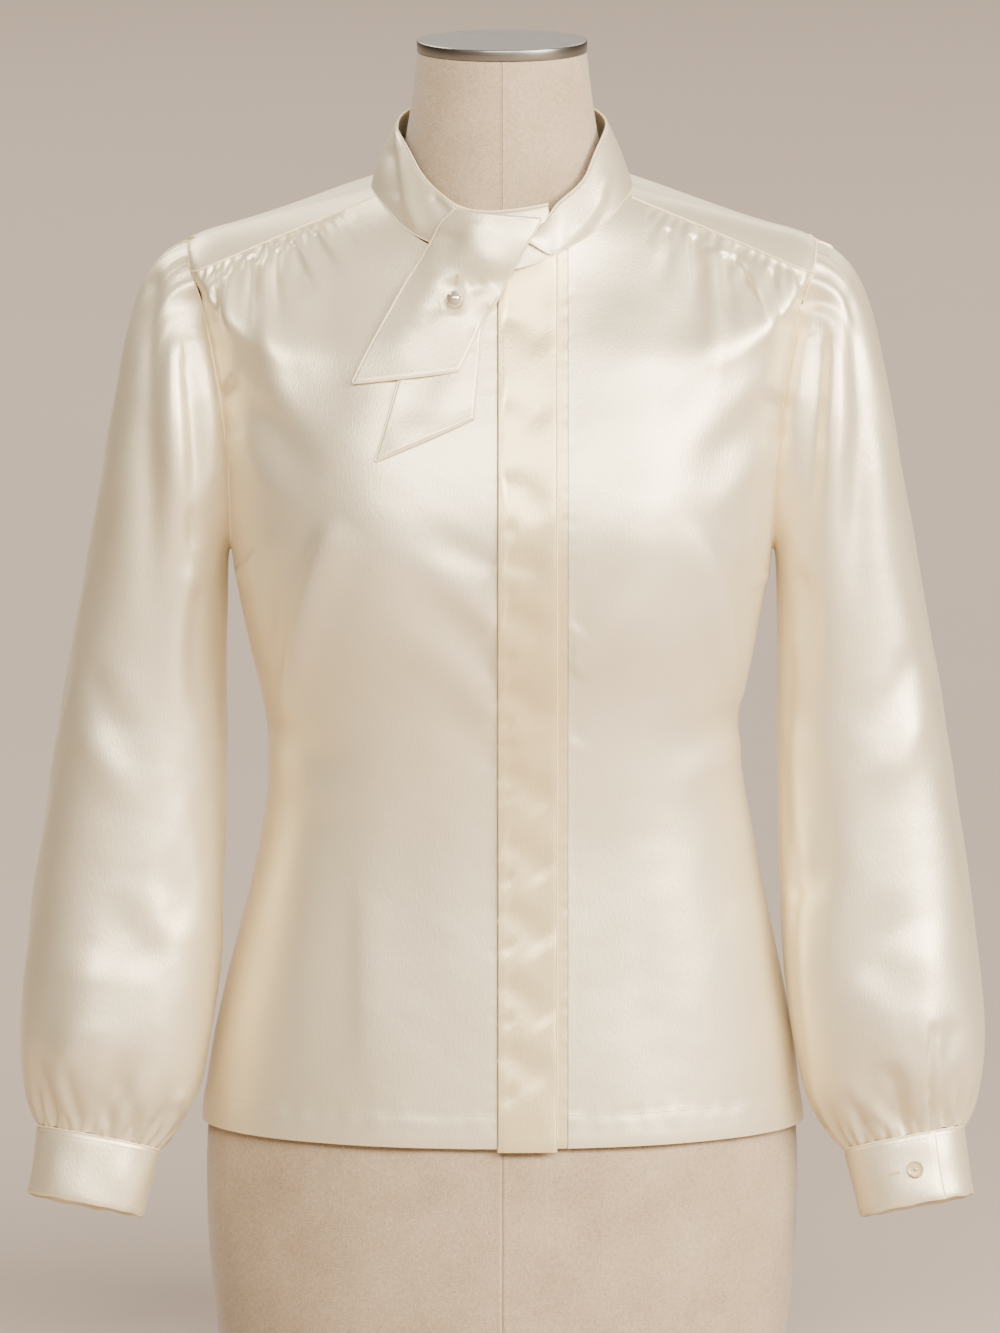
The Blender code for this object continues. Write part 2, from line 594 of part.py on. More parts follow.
def collar_rows(stations, rows):
    """The collar's outer face: a row of points from foot to top at each station."""
    column = {name: np.array([row[i] for row in stations]) for i, name in enumerate(COLLAR_COLUMNS)}
    turn = np.radians(column["turn"])
    foot = seam_foot(turn)
    free = column["seam"] == 0
    radial = np.stack([np.sin(turn), -np.cos(turn), np.zeros_like(turn)], axis=-1)
    up = np.array([0.0, 0.0, 1.0])
    foot[free] = (radial * column["foot_r"][:, None] + up * column["foot_z"][:, None])[free]
    foot[~free] += up * 2 * SEAM
    azimuth = np.arctan2(foot[:, 0], -foot[:, 1])
    heading = np.stack([np.sin(azimuth), -np.cos(azimuth), np.zeros_like(turn)], axis=-1)
    top = heading * column["top_r"][:, None] + up * column["top_z"][:, None]
    grid = []
    for share in np.linspace(0, 1, rows):
        swell = 1.6 * math.sin(math.pi * share)
        grid.append(foot * (1 - share) + top * share + heading * swell)
    return np.array(grid)


def make_collar():
    """The band collar, whose under end passes the centre front and whose upper end crosses over it."""
    outer = collar_rows(list(COLLAR_STATIONS.values()), 4)
    normal = grid_normal(outer, closed=False)
    away = outer * np.array([1.0, 1.0, 0.0])
    if np.sum(normal * away) < 0:
        normal = -normal
    inner = outer - normal * WALL
    return make_wall("collar_band", outer, inner, "satin")


def locate(x, z):
    """The angle and run at which the front of the body lies at x and z."""
    run = z - 160.0
    angle = np.arcsin(np.clip(x / 190.0, -0.9, 0.9))
    for _ in range(30):
        here = body_point(angle, run)
        miss_x, miss_z = x - here[..., 0], z - here[..., 2]
        turn = (body_point(angle + 1e-3, run) - here) / 1e-3
        rise = (body_point(angle, run + 0.5) - here) / 0.5
        scale = turn[..., 0] * rise[..., 2] - turn[..., 2] * rise[..., 0]
        angle = angle + 0.7 * (miss_x * rise[..., 2] - miss_z * rise[..., 0]) / scale
        run = np.clip(run + 0.7 * (miss_z * turn[..., 0] - miss_x * turn[..., 2]) / scale, 0, NECK_RUN - 0.6)
    return angle, run


def front_depth(x, z):
    """The y of the outermost cloth on the front: the body low down, the collar above."""
    angle, run = locate(x, np.minimum(z, 727.0))
    body_y = body_point(angle, run)[..., 1]
    radius = np.interp(z, [715.0, 727.0, 757.0, 770.0], [80.0, 79.5, 72.5, 70.0])
    collar_y = -np.sqrt(np.maximum(radius**2 - x**2, 1.0))
    blend = np.clip((z - 712.0) / 20.0, 0, 1)
    return body_y * (1 - blend) + np.minimum(collar_y, body_y + 20 * blend) * blend


def tab_grid(table, columns):
    """A tie end's outer face, a row for each station down its length."""
    grid = []
    for row in table.values():
        tab = dict(zip(TAB_COLUMNS, row))
        share = np.linspace(0, 1, columns + 1)
        x = tab["left_x"] * (1 - share) + tab["right_x"] * share
        z = tab["left_z"] * (1 - share) + tab["right_z"] * share
        stand = tab["stand_left"] * (1 - share) + tab["stand_right"] * share
        stand = stand + 1.2 * np.sin(math.pi * share)
        grid.append(np.stack([x, front_depth(x, z) - stand, z], axis=-1))
    return np.array(grid)


def make_tab(name, table):
    """A tie end: a flat tab with a slanted point."""
    outer = tab_grid(table, 5)
    normal = grid_normal(outer, closed=False)
    if normal[..., 1].sum() > 0:
        normal = -normal
    return make_wall(name, outer, outer - normal * WALL, "satin")


def make_turned(name, profile, centre, axis, material, sides=20):
    """A turned piece: radius and height pairs about an axis, closed at both ends."""
    axis = unit(np.asarray(axis, float))
    helper = np.array([0.0, 0.0, 1.0]) if abs(axis[2]) < 0.9 else np.array([1.0, 0.0, 0.0])
    first = unit(np.cross(helper, axis))
    second = np.cross(axis, first)
    turn = np.linspace(0, 2 * math.pi, sides, endpoint=False)
    ring = np.cos(turn)[:, None] * first + np.sin(turn)[:, None] * second
    points = [np.asarray(centre) + axis * height + ring * radius for radius, height in profile]
    points = np.concatenate(points)
    faces = [list(range(sides))[::-1], [len(points) - sides + i for i in range(sides)]]
    for row in range(len(profile) - 1):
        for i in range(sides):
            j = (i + 1) % sides
            low, high = row * sides, (row + 1) * sides
            faces.append([low + i, low + j, high + j, high + i])
    return make_object(name, points, faces, material)


def make_form():
    """The dress form's torso and neck, one smooth solid with a flat foot."""
    angle = np.radians(np.arange(0, 360, 12.0))
    angle = angle + 0.06 * np.sin(2 * angle)
    foot = Rings(FORM_COLUMNS, FORM_BASE)
    neck = Rings(FORM_COLUMNS, FORM_NECK)
    rows = [foot.point(angle, np.full_like(angle, run)) for run in foot.runs]
    for name, run in BODY.run_of.items():
        if name in ("hem", "over_hem", "neck"):
            continue
        place = np.full_like(angle, run)
        clearance = FORM_CLEARANCE + (SHOULDER_CLEARANCE if run > BODY.run_of["high_chest"] else 0.0)
        rows.append(body_point(angle, place) - clearance * body_normal(angle, place))
    rows += [neck.point(angle, np.full_like(angle, run)) for run in neck.runs]
    grid = np.array(rows)
    points = grid.reshape(-1, 3)
    rows, columns = grid.shape[:2]
    faces = [list(range(columns))[::-1], [(rows - 1) * columns + i for i in range(columns)]]
    for row in range(rows - 1):
        for i in range(columns):
            j = (i + 1) % columns
            low, high = row * columns, (row + 1) * columns
            faces.append([low + i, low + j, high + j, high + i])
    return make_object("dress_form", points, faces, "linen")


def make_cap():
    """The metal disc that closes the form's neck."""
    low, high = CAP_HEIGHTS
    profile = [(CAP_RADIUS - 0.8, 0.0), (CAP_RADIUS, 0.8), (CAP_RADIUS, high - low - 0.8),
               (CAP_RADIUS - 0.8, high - low)]
    return make_turned("neck_cap", profile, (0.0, 0.0, low), (0, 0, 1), "cap", sides=40)


def make_pearl():
    """The pearl on the upper tie end."""
    radius = PEARL_DIAMETER / 2
    x, z = -30.3, 702.0
    cloth = tab_grid({"row": (x - 30, z, x + 30, z, 4.6, 8.0)}, 2)[0, 1]
    centre = cloth + np.array([0.0, -radius - 0.9, 0.0])
    profile = [(radius * math.sin(a), -radius * math.cos(a)) for a in np.radians([20, 45, 70, 95, 120, 145, 168])]
    return make_turned("pearl", profile, centre, (0, -1, 0), "pearl", sides=16)


def make_cuff_button(name, side, lap_end):
    """A round button in the middle of a cuff's overlap."""
    turn = np.radians(lap_end + CUFF_OVERLAP / 2) + np.array([0.0, 0.05])
    rings, middle = cuff_rings(turn)
    normal = unit(np.cross(rings[2, 0] - rings[0, 0], rings[1, 1] - rings[1, 0]))
    if np.dot(normal, rings[1, 0] - middle[1, 0]) < 0:
        normal = -normal
    radius = CUFF_BUTTON_DIAMETER / 2
    profile = [(radius - 0.6, 0.0), (radius, 0.6), (radius, 1.6), (radius - 0.7, 2.2)]
    flip = np.array([side, 1.0, 1.0])
    centre = rings[1, 0] + normal * (CUFF_WALL + 3 * SEAM)
    return make_turned(name, profile, centre * flip, normal * flip, "button", sides=16)


def main():
    """Clear the scene and build every piece."""
    for obj in list(bpy.data.objects):
        bpy.data.objects.remove(obj, do_unlink=True)
    make_form()
    make_cap()
    make_front("front_right", -1, PLACKET_EDGES[0], 9)
    make_front("front_left", 1, BAND_EDGES[1], 8)
    make_strip("placket", PLACKET_EDGES, 3, PLACKET_LIFT, PLACKET_DROP)
    make_strip("button_band", BAND_EDGES, 3, 0.0, 0.0)
    make_back()
    make_yoke()
    make_collar()
    make_tab("tie_upper", TIE_UPPER)
    make_tab("tie_under", TIE_UNDER)
    make_sleeve("sleeve_right", -1)
    make_sleeve("sleeve_left", 1)
    make_cuff("cuff_right", -1, CUFF_LAP_ENDS["right"])
    make_cuff("cuff_left", 1, CUFF_LAP_ENDS["left"])
    make_pearl()
    make_cuff_button("cuff_button_left", 1, CUFF_LAP_ENDS["left"])
    make_cuff_button("cuff_button_right", -1, CUFF_LAP_ENDS["right"])


main()
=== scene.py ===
"""Looks of an ivory satin blouse with a tied band collar, on a linen-covered dress form.

The blouse's body is one smooth surface of rings, on which every panel is a thin shell between its own
seams.  Folds are soft ridges and troughs laid on that surface along short lines.
Tables are in millimetres, seen from the front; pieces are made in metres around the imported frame.
"""

import logging
import math
from dataclasses import dataclass, field
from enum import Enum
from typing import Callable, Dict, List, Optional, Sequence, Tuple

import bpy
import bmesh
import numpy as np
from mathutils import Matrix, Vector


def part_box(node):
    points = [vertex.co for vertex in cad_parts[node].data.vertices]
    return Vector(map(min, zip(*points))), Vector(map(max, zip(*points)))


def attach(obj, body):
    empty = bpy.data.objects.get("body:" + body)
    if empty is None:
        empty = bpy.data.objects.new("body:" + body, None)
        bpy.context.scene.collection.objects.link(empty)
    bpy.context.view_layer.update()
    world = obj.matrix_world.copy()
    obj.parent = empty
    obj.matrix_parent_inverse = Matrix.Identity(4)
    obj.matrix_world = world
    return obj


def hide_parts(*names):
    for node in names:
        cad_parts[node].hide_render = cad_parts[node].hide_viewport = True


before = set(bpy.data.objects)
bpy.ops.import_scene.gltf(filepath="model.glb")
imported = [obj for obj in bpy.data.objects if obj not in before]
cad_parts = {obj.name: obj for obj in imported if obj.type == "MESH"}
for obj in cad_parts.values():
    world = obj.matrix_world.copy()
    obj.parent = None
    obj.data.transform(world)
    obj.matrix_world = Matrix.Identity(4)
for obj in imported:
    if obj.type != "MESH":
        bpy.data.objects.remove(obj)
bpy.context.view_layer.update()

LOG = logging.getLogger("blouse")
MM = 0.001
Array = np.ndarray
Mesh = Tuple[np.ndarray, List[List[int]]]
Point = Tuple[float, float, float]
Pair = Tuple[float, float]
Line = Tuple[Pair, ...]
Table = Dict[str, Tuple[float, ...]]
Edges = Dict[str, Array]
Piece = bpy.types.Object
Material = bpy.types.Material

BODY_COLUMNS = ("width", "front", "back", "round", "shift", "z_front", "z_side", "z_back", "lift")
BODY_RINGS = {
    "hem": (193, 126, 130, 2.05, 0.5, 160, 160, 160, 2),
    "over_hem": (190, 124, 128, 2.05, 0.5, 183, 183, 183, 2),
    "hip": (185, 120, 124, 2.10, 1, 217, 217, 217, 2),
    "flare": (175.5, 115, 115, 2.15, 2, 262, 262, 262, 2),
    "under_waist": (165, 110, 106, 2.20, 3, 308, 308, 308, 2),
    "low_waist": (156.5, 107, 97, 2.20, 3.5, 350, 350, 350, 2),
    "waist": (151.2, 107, 91, 2.25, 2, 388, 388, 388, 2),
    "high_waist": (151.2, 110, 89, 2.25, 0.5, 418, 418, 418, 2),
    "ribs": (158, 117, 92, 2.25, 0.5, 452, 452, 452, 2),
    "under_bust": (166, 126, 97, 2.30, 0, 488, 488, 488, 2),
    "underarm": (173, 131, 103, 2.35, 0, 528, 530, 530, 2),
    "bust": (177, 130, 106, 2.35, 0, 556, 565, 563, 2),
    "chest": (181.5, 124, 106, 2.35, 0, 588, 609, 600, 2.5),
    "high_chest": (188, 114, 104, 2.35, 0, 620, 656, 636, 3.5),
    "low_tip": (196, 104, 101, 2.30, 0, 645, 698, 670, 4.5),
    "tip": (201.5, 96, 97, 2.30, 0, 664, 725, 700, 5.5),
    "shoulder": (174, 88, 90, 2.30, 0, 682, 737, 728, 6.5),
    "mid_shoulder": (141, 81, 82, 2.25, 0, 699, 746, 750, 6),
    "neck_side": (108, 77, 73, 2.20, 0, 713, 755, 766, 4),
    "neck": (83.5, 75, 66, 2.15, 0, 725, 762, 776, 2.4),
}
BUST_REACH, BUST_HEIGHT, BUST_RISE, BUST_SPREAD = 86, 552, 7, (46, 70)
ARMHOLE_LINE = {500: 172.5, 543: 173, 591: 174.3, 635: 180, 685: 189.5, 713: 199.3, 740: 202}

TUBE_COLUMNS = ("outer_x", "outer_z", "inner_x", "inner_z", "depth", "y_mid", "tilt", "follow")
SLEEVE_RINGS = {
    "seam": (200, 725, 173.6, 530, 52, -1, 0, 1),
    "head_1": (209, 722, 174.2, 529, 55, 0, 0, 0.75),
    "head_2": (221, 712.5, 174.6, 526.5, 57, 1, 0, 0.45),
    "head_3": (232.5, 692, 175, 522, 58, 2, 0, 0.2),
    "head_4": (242, 655, 175.2, 513, 58, 3, 0, 0),
    "upper": (251.5, 603, 175.4, 497, 57.5, 4, 0, 0),
    "upper_2": (261.5, 546, 175.6, 470, 57, 5, 0.5, 0),
    "elbow": (272, 488, 175.8, 434, 57, 5, 1.5, 0),
    "elbow_2": (282.5, 425, 176, 390, 58, 3, 3.5, 0),
    "fore": (292.5, 360, 177, 340, 59, -1.5, 6, 0),
    "fore_2": (300.8, 302, 178.5, 290, 59.5, -8.5, 8, 0),
    "full": (306.8, 251, 182, 244, 58.5, -17, 10, 0),
    "full_2": (309, 213, 188, 206, 54, -24.5, 11, 0),
    "gather": (306, 186, 196, 176.5, 46, -30, 12, 0),
    "gather_2": (301, 170, 207, 157.5, 36, -33.5, 12.5, 0),
    "cuff_seam": (296, 160, 219, 144.5, 27, -36, 12.5, 0),
}
CUFF_RINGS = {
    "top": (296.3, 159.4, 218.7, 143.9, 27.3, -36.1, 12.5, 0),
    "middle": (299, 138, 224, 123, 27.5, -41, 12.5, 0),
    "bottom": (302.3, 117.3, 229.7, 102.3, 27.5, -45.6, 12.5, 0),
}
CUFF_OVERLAP = 48.0

COLLAR_COLUMNS = ("turn", "foot_r", "foot_z", "top_r", "top_z", "seam")
# From the under end, round the neck by the wearer's left, to the upper end.
COLLAR_STATIONS = (
    (24, 80.6, 728, 72.6, 759.5, 0),
    (14, 81.6, 722, 71.6, 757.5, 0),
    (0, 82.4, 719, 70.4, 755.5, 0),
    (-14, 81.4, 722, 70.6, 755.5, 0),
    (-28, 80, 731, 70.7, 760.5, 0),
    (-42, 0, 0, 69.3, 773.5, 1),
    (-56, 0, 0, 68.3, 786.5, 1),
    (-72, 0, 0, 67.8, 797.5, 1),
    (-90, 0, 0, 67, 803, 1),
    (-112, 0, 0, 66, 807, 1),
    (-136, 0, 0, 64.5, 811, 1),
    (-158, 0, 0, 63.5, 813, 1),
    (-180, 0, 0, 63, 813.5, 1),
    (-202, 0, 0, 63.5, 813, 1),
    (-224, 0, 0, 64.5, 811, 1),
    (-248, 0, 0, 66, 807, 1),
    (-270, 0, 0, 67, 803, 1),
    (-288, 0, 0, 67.8, 797, 1),
    (-304, 0, 0, 68.6, 785, 1),
    (-318, 0, 0, 71.2, 771, 1),
    (-331, 83.2, 731, 74.6, 760, 0),
    (-338.5, 83.6, 728.5, 75.8, 750, 0),
    (-346, 83, 734.5, 76.8, 745.5, 0),
    (-354, 80.2, 739, 77.6, 744.5, 0),
)

TAB_COLUMNS = ("left_x", "left_z", "right_x", "right_z", "stand_left", "stand_right")
TIE_UPPER = {
    "fold": (-29.5, 757.5, 25.5, 752, 6, 9),
    "neck": (-37.8, 749, 20.6, 743, 6, 9),
    "seam": (-42.6, 741, 16, 736, 6, 9),
    "under_seam": (-50.8, 726, 9, 722.5, 6, 9.4),
    "pearl_over": (-59.5, 713.5, 2.6, 713, 4.6, 8.2),
    "pearl": (-67.8, 699.5, -1.8, 702.5, 4.6, 8),
    "pearl_under": (-76.2, 685, -11.5, 689.5, 4.8, 7),
    "tab": (-85.8, 668, -18.6, 675, 5, 6.4),
    "tip": (-95.4, 649, -27.6, 657.5, 5.2, 6.4),
}
TIE_UNDER = {
    "root": (-42.5, 715, -3, 713, 2.4, 4),
    "under_pearl": (-48, 700, -8, 700, 2.4, 3.8),
    "emerge": (-54.5, 681, -12.8, 684.5, 2.4, 3.6),
    "edge": (-62, 661.5, -14.6, 666, 2.8, 3.6),
    "lower": (-70, 636, -16.6, 646, 2.8, 3.4),
    "point": (-81, 601.5, -18.2, 628.5, 3, 3.4),
}

FORM_COLUMNS = ("width", "front", "back", "round", "z_front", "z_side", "z_back", "lift")
FORM_BASE = {
    "foot": (179, 117, 119, 2.05, 0, 0, 0, 2),
    "foot_2": (182.5, 118.5, 121, 2.05, 22, 22, 22, 2),
    "foot_3": (187, 120, 123, 2.05, 62, 62, 62, 2),
    "foot_4": (189.3, 120.5, 124, 2.05, 108, 108, 108, 2),
    "foot_5": (188.9, 121, 125, 2.05, 150, 150, 150, 2),
}
FORM_NECK = {
    "neck_base": (71, 66.5, 58.5, 2.10, 721, 757, 768, 2.4),
    "neck_low": (65, 64, 59, 2, 747, 771, 782, 2),
    "neck_mid": (61, 61, 59.5, 2, 787, 796, 800, 2),
    "neck_high": (57.6, 57.6, 57.6, 2, 818, 818, 818, 2),
    "neck_top": (54, 54, 54, 2, 848.2, 848.2, 848.2, 2),
}


# ---------------- numbers and surfaces


def spline(knots: Array, values: Array, at: Array) -> Array:
    """A natural cubic spline through rows of values.

    Args:
        knots: where each row lies.
        values: one row for each knot.
        at: where the spline is wanted.

    Returns:
        The values there, in the shape of at with one more axis.
    """
    knots = np.asarray(knots, float)
    values = np.asarray(values, float)
    gaps = np.diff(knots)
    count = len(knots)
    system = np.eye(count)
    right = np.zeros_like(values)
    for i in range(1, count - 1):
        system[i, i - 1 : i + 2] = gaps[i - 1], 2 * (gaps[i - 1] + gaps[i]), gaps[i]
        right[i] = 6 * ((values[i + 1] - values[i]) / gaps[i] - (values[i] - values[i - 1]) / gaps[i - 1])
    bend = np.linalg.solve(system, right)
    at = np.clip(np.asarray(at, float), knots[0], knots[-1])
    low = np.clip(np.searchsorted(knots, at, side="right") - 1, 0, count - 2)
    gap = gaps[low][..., None]
    before = (knots[low + 1] - at)[..., None] / gap
    after = 1 - before
    curve = (before**3 - before) * bend[low] + (after**3 - after) * bend[low + 1]
    return before * values[low] + after * values[low + 1] + curve * gap**2 / 6


def unit(vector: Array) -> Array:
    """A vector at length 1."""
    return vector / np.maximum(np.linalg.norm(vector, axis=-1, keepdims=True), 1e-9)


def running(steps: Array) -> Array:
    """The running total of steps, from 0."""
    return np.concatenate([[0.0], np.cumsum(steps)])


def smooth(value: Array) -> Array:
    """A soft step from 0 to 1."""
    value = np.clip(value, 0, 1)
    return value * value * (3 - 2 * value)


def bisect(low: Array, high: Array, past: Callable[[Array], Array]) -> Array:
    """Where past() turns true between two arrays.

    Args:
        low: where past() is false.
        high: where it is true.
        past: the test.

    Returns:
        The turning points.
    """
    low, high = np.array(low, float), np.array(high, float)
    for _ in range(40):
        middle = (low + high) / 2
        over = past(middle)
        high = np.where(over, middle, high)
        low = np.where(over, low, middle)
    return (low + high) / 2


def grid_normal(grid: Array, closed: bool, outward: Array) -> Array:
    """The normals of a grid of points.

    Args:
        grid: rows of points.
        closed: whether the last column joins the first.
        outward: a direction, for each point or for all, that the normals go with on average.

    Returns:
        A normal for each point.
    """
    if closed:
        across = np.roll(grid, -1, axis=1) - np.roll(grid, 1, axis=1)
    else:
        across = np.gradient(grid, axis=1)
    normal = unit(np.cross(across, np.gradient(grid, axis=0)))
    return normal if np.sum(normal * outward) > 0 else -normal


def waves(x: Array, z: Array, size: float, seed: int) -> Array:
    """Gentle unevenness between about -1 and 1.

    Args:
        x: first coordinate, in millimetres.
        z: second coordinate, in millimetres.
        size: the usual length of a wave, in millimetres.
        seed: which pattern it is.

    Returns:
        The height at each place.
    """
    picks = np.random.default_rng(seed)
    total = np.zeros(np.broadcast(x, z).shape)
    for _ in range(6):
        heading = picks.uniform(0, math.pi)
        length = size * picks.uniform(0.7, 1.5)
        phase = picks.uniform(0, 2 * math.pi)
        total = total + np.sin((x * math.cos(heading) + z * math.sin(heading)) * 2 * math.pi / length + phase)
    return total / 3.2


class Rings:
    """A surface through a table of rings; "run" is the distance up it from the first one."""

    def __init__(self, columns: Sequence[str], table: Table) -> None:
        """Read the table.

        Args:
            columns: the names of its columns.
            table: its rows by name, from the bottom up.
        """
        self.columns = columns
        self.values = np.array(list(table.values()), float)
        column = {name: self.values[:, i] for i, name in enumerate(columns)}
        side = np.hypot(np.diff(column["width"]), np.diff(column["z_side"]))
        front = np.hypot(np.diff(column["front"]), np.diff(column["z_front"]))
        self.runs = running((side + front) / 2)
        self.run_of = dict(zip(table, self.runs))

    def at(self, run: Array) -> Edges:
        """Every column's value at a run."""
        values = spline(self.runs, self.values, run)
        return {name: values[..., i] for i, name in enumerate(self.columns)}

    def point(self, angle: Array, run: Array) -> Array:
        """The surface's points, in millimetres.

        Args:
            angle: round from the centre front, in radians.
            run: up the surface.

        Returns:
            A point for each pair.
        """
        ring = self.at(run)
        sine, cosine = np.sin(angle), np.cos(angle)
        power = 2.0 / ring["round"]
        front = cosine >= 0
        x = ring.get("shift", 0.0) + ring["width"] * np.sign(sine) * np.abs(sine) ** power
        y = -np.where(front, ring["front"], ring["back"]) * np.sign(cosine) * np.abs(cosine) ** power
        end = np.where(front, ring["z_front"], ring["z_back"])
        z = end + (ring["z_side"] - end) * np.abs(sine) ** ring["lift"]
        return np.stack(np.broadcast_arrays(x, y, z), axis=-1)


class Body(Rings):
    """The outer face of the blouse's body, with the bust's fullness."""

    def __init__(self) -> None:
        """Read the body's own rings."""
        super().__init__(BODY_COLUMNS, BODY_RINGS)
        self.top = float(self.runs[-1])

    def skin(self, angle: Array, run: Array) -> Array:
        """The surface's points with the bust added.

        Args:
            angle: round from the centre front, in radians.
            run: up the surface.

        Returns:
            A point for each pair.
        """
        point = self.point(angle, run)
        rise = np.zeros(point.shape[:-1])
        for side in (-1, 1):
            across = (point[..., 0] - side * BUST_REACH) / BUST_SPREAD[0]
            up = (point[..., 2] - BUST_HEIGHT) / BUST_SPREAD[1]
            rise = rise + BUST_RISE * np.exp(-(across**2) - up**2)
        point[..., 1] -= rise * np.clip(np.cos(angle) * 3, 0, 1)
        return point

    def normal(self, angle: Array, run: Array) -> Array:
        """The direction out of the surface at an angle and a run."""
        across = self.skin(angle + 0.01, run) - self.skin(angle - 0.01, run)
        up = self.skin(angle, np.clip(run + 1, 0, self.top)) - self.skin(angle, np.clip(run - 1, 0, self.top))
        return unit(np.cross(across, up))

    def angle_at_x(self, x: float, run: Array) -> Array:
        """The angle at which the front lies at x."""
        full = np.full_like(run, 1.2)
        return bisect(-full, full, lambda a: self.point(a, run)[..., 0] > x)

    def run_at_height(self, angle: Array, height: float) -> Array:
        """The run at which the surface reaches a height."""
        low = np.zeros_like(angle)
        return bisect(low, low + self.top, lambda r: self.skin(angle, r)[..., 2] > height)

    def locate(self, x: Array, z: Array) -> Tuple[Array, Array]:
        """The angle and run at which the front lies at x and z.

        Args:
            x: across.
            z: up.

        Returns:
            Angles and runs.
        """
        run = z - 160.0
        angle = np.arcsin(np.clip(x / 190.0, -0.9, 0.9))
        for _ in range(30):
            here = self.skin(angle, run)
            miss_x, miss_z = x - here[..., 0], z - here[..., 2]
            turn = (self.skin(angle + 1e-3, run) - here) / 1e-3
            rise = (self.skin(angle, run + 0.5) - here) / 0.5
            scale = turn[..., 0] * rise[..., 2] - turn[..., 2] * rise[..., 0]
            angle = angle + 0.7 * (miss_x * rise[..., 2] - miss_z * rise[..., 0]) / scale
            run = run + 0.7 * (miss_z * turn[..., 0] - miss_x * turn[..., 2]) / scale
            run = np.clip(run, 0, self.top - 0.6)
        return angle, run


BODY = Body()


@dataclass
class Pattern:
    """The seams of one half of the body, in angles and runs; the other half mirrors it."""

    fine: int = 7
    side_rows: int = 70
    yoke_rows: int = 110
    neck_angle: float = math.radians(74.0)

    def __post_init__(self) -> None:
        """Find the armhole and the seams that end on it."""
        steps = 12 * self.fine
        self.corner = 10 * self.fine
        start = BODY.run_at_height(np.array([math.pi / 2]), 530.0)[0]
        middle = BODY.run_of["tip"]
        ridge = bisect(np.array([middle]), np.array([middle + 30]), lambda r: BODY.at(r)["width"] < 200.0)[0]
        self.runs = start + (ridge - start) * (1 - np.cos(math.pi * np.arange(steps + 1) / steps)) / 2
        half_pi = np.full_like(self.runs, math.pi / 2)
        self.front = bisect(half_pi - 0.9, half_pi, self.outside)
        self.back = bisect(half_pi + 0.9, half_pi, self.outside)
        for edge in (self.front, self.back):
            edge[[0, -1]] = math.pi / 2
        heights = BODY.skin(self.back, self.runs)[..., 2]
        coarse = np.arange(0, self.corner + 1, self.fine)
        self.back_corner = int(coarse[np.argmin(np.abs(heights[coarse] - 662.0))])
        self.back_height = float(heights[self.back_corner])
        self.side_runs = np.linspace(0.0, self.runs[0], self.side_rows + 1)

    def outside(self, angle: Array) -> Array:
        """Whether points of the armhole's rows lie past its line."""
        point = BODY.point(angle, self.runs)
        line = np.interp(point[..., 2], list(ARMHOLE_LINE), list(ARMHOLE_LINE.values()))
        return point[..., 0] > line

    def yoke_seam(self) -> Tuple[Array, Array]:
        """Angles and runs of the yoke's front seam, straight in the front view."""
        run = np.linspace(self.runs[self.corner], BODY.top, self.yoke_rows + 1)
        outer = BODY.skin(self.front[self.corner], self.runs[self.corner])
        inner = BODY.skin(np.array(self.neck_angle), np.array(BODY.top))
        slope = (inner[2] - outer[2]) / (inner[0] - outer[0])

        def above(angle: Array) -> Array:
            """Whether points lie above the seam's line."""
            point = BODY.skin(angle, run)
            return point[..., 2] > outer[2] + slope * (point[..., 0] - outer[0])

        half_pi = np.full_like(run, math.pi / 2)
        angle = bisect(half_pi - 0.9, half_pi, above)
        angle[0], angle[-1] = self.front[self.corner], self.neck_angle
        return angle, run

    def front_edge(self) -> Tuple[Array, Array]:
        """Angles and runs up the front's outer edge: side seam, armhole, yoke seam."""
        seam_angle, seam_run = self.yoke_seam()
        side = np.full(self.side_rows, math.pi / 2)
        angle = np.concatenate([side, self.front[: self.corner + 1], seam_angle[1:]])
        run = np.concatenate([self.side_runs[:-1], self.runs[: self.corner + 1], seam_run[1:]])
        return angle, run

    def back_edge(self) -> Tuple[Array, Array]:
        """Angles and runs up the back's outer edge: side seam and armhole."""
        side = np.full(self.side_rows, math.pi / 2)
        angle = np.concatenate([side, self.back[: self.back_corner + 1]])
        run = np.concatenate([self.side_runs[:-1], self.runs[: self.back_corner + 1]])
        return angle, run

    def back_seam(self, count: int) -> Tuple[Array, Array]:
        """Angles and runs of the yoke's back seam, from the armhole to the centre back."""
        angle = np.linspace(self.back[self.back_corner], math.pi, count)
        return angle, BODY.run_at_height(angle, self.back_height)

    def loop(self, every: int) -> Tuple[Array, Array]:
        """The armhole as one loop of angles and runs, from the underarm up the front."""
        angle = np.concatenate([self.front, self.back[-2:0:-1]])
        run = np.concatenate([self.runs, self.runs[-2:0:-1]])
        return angle[::every], run[::every]


PATTERN = Pattern()


# ---------------- folds


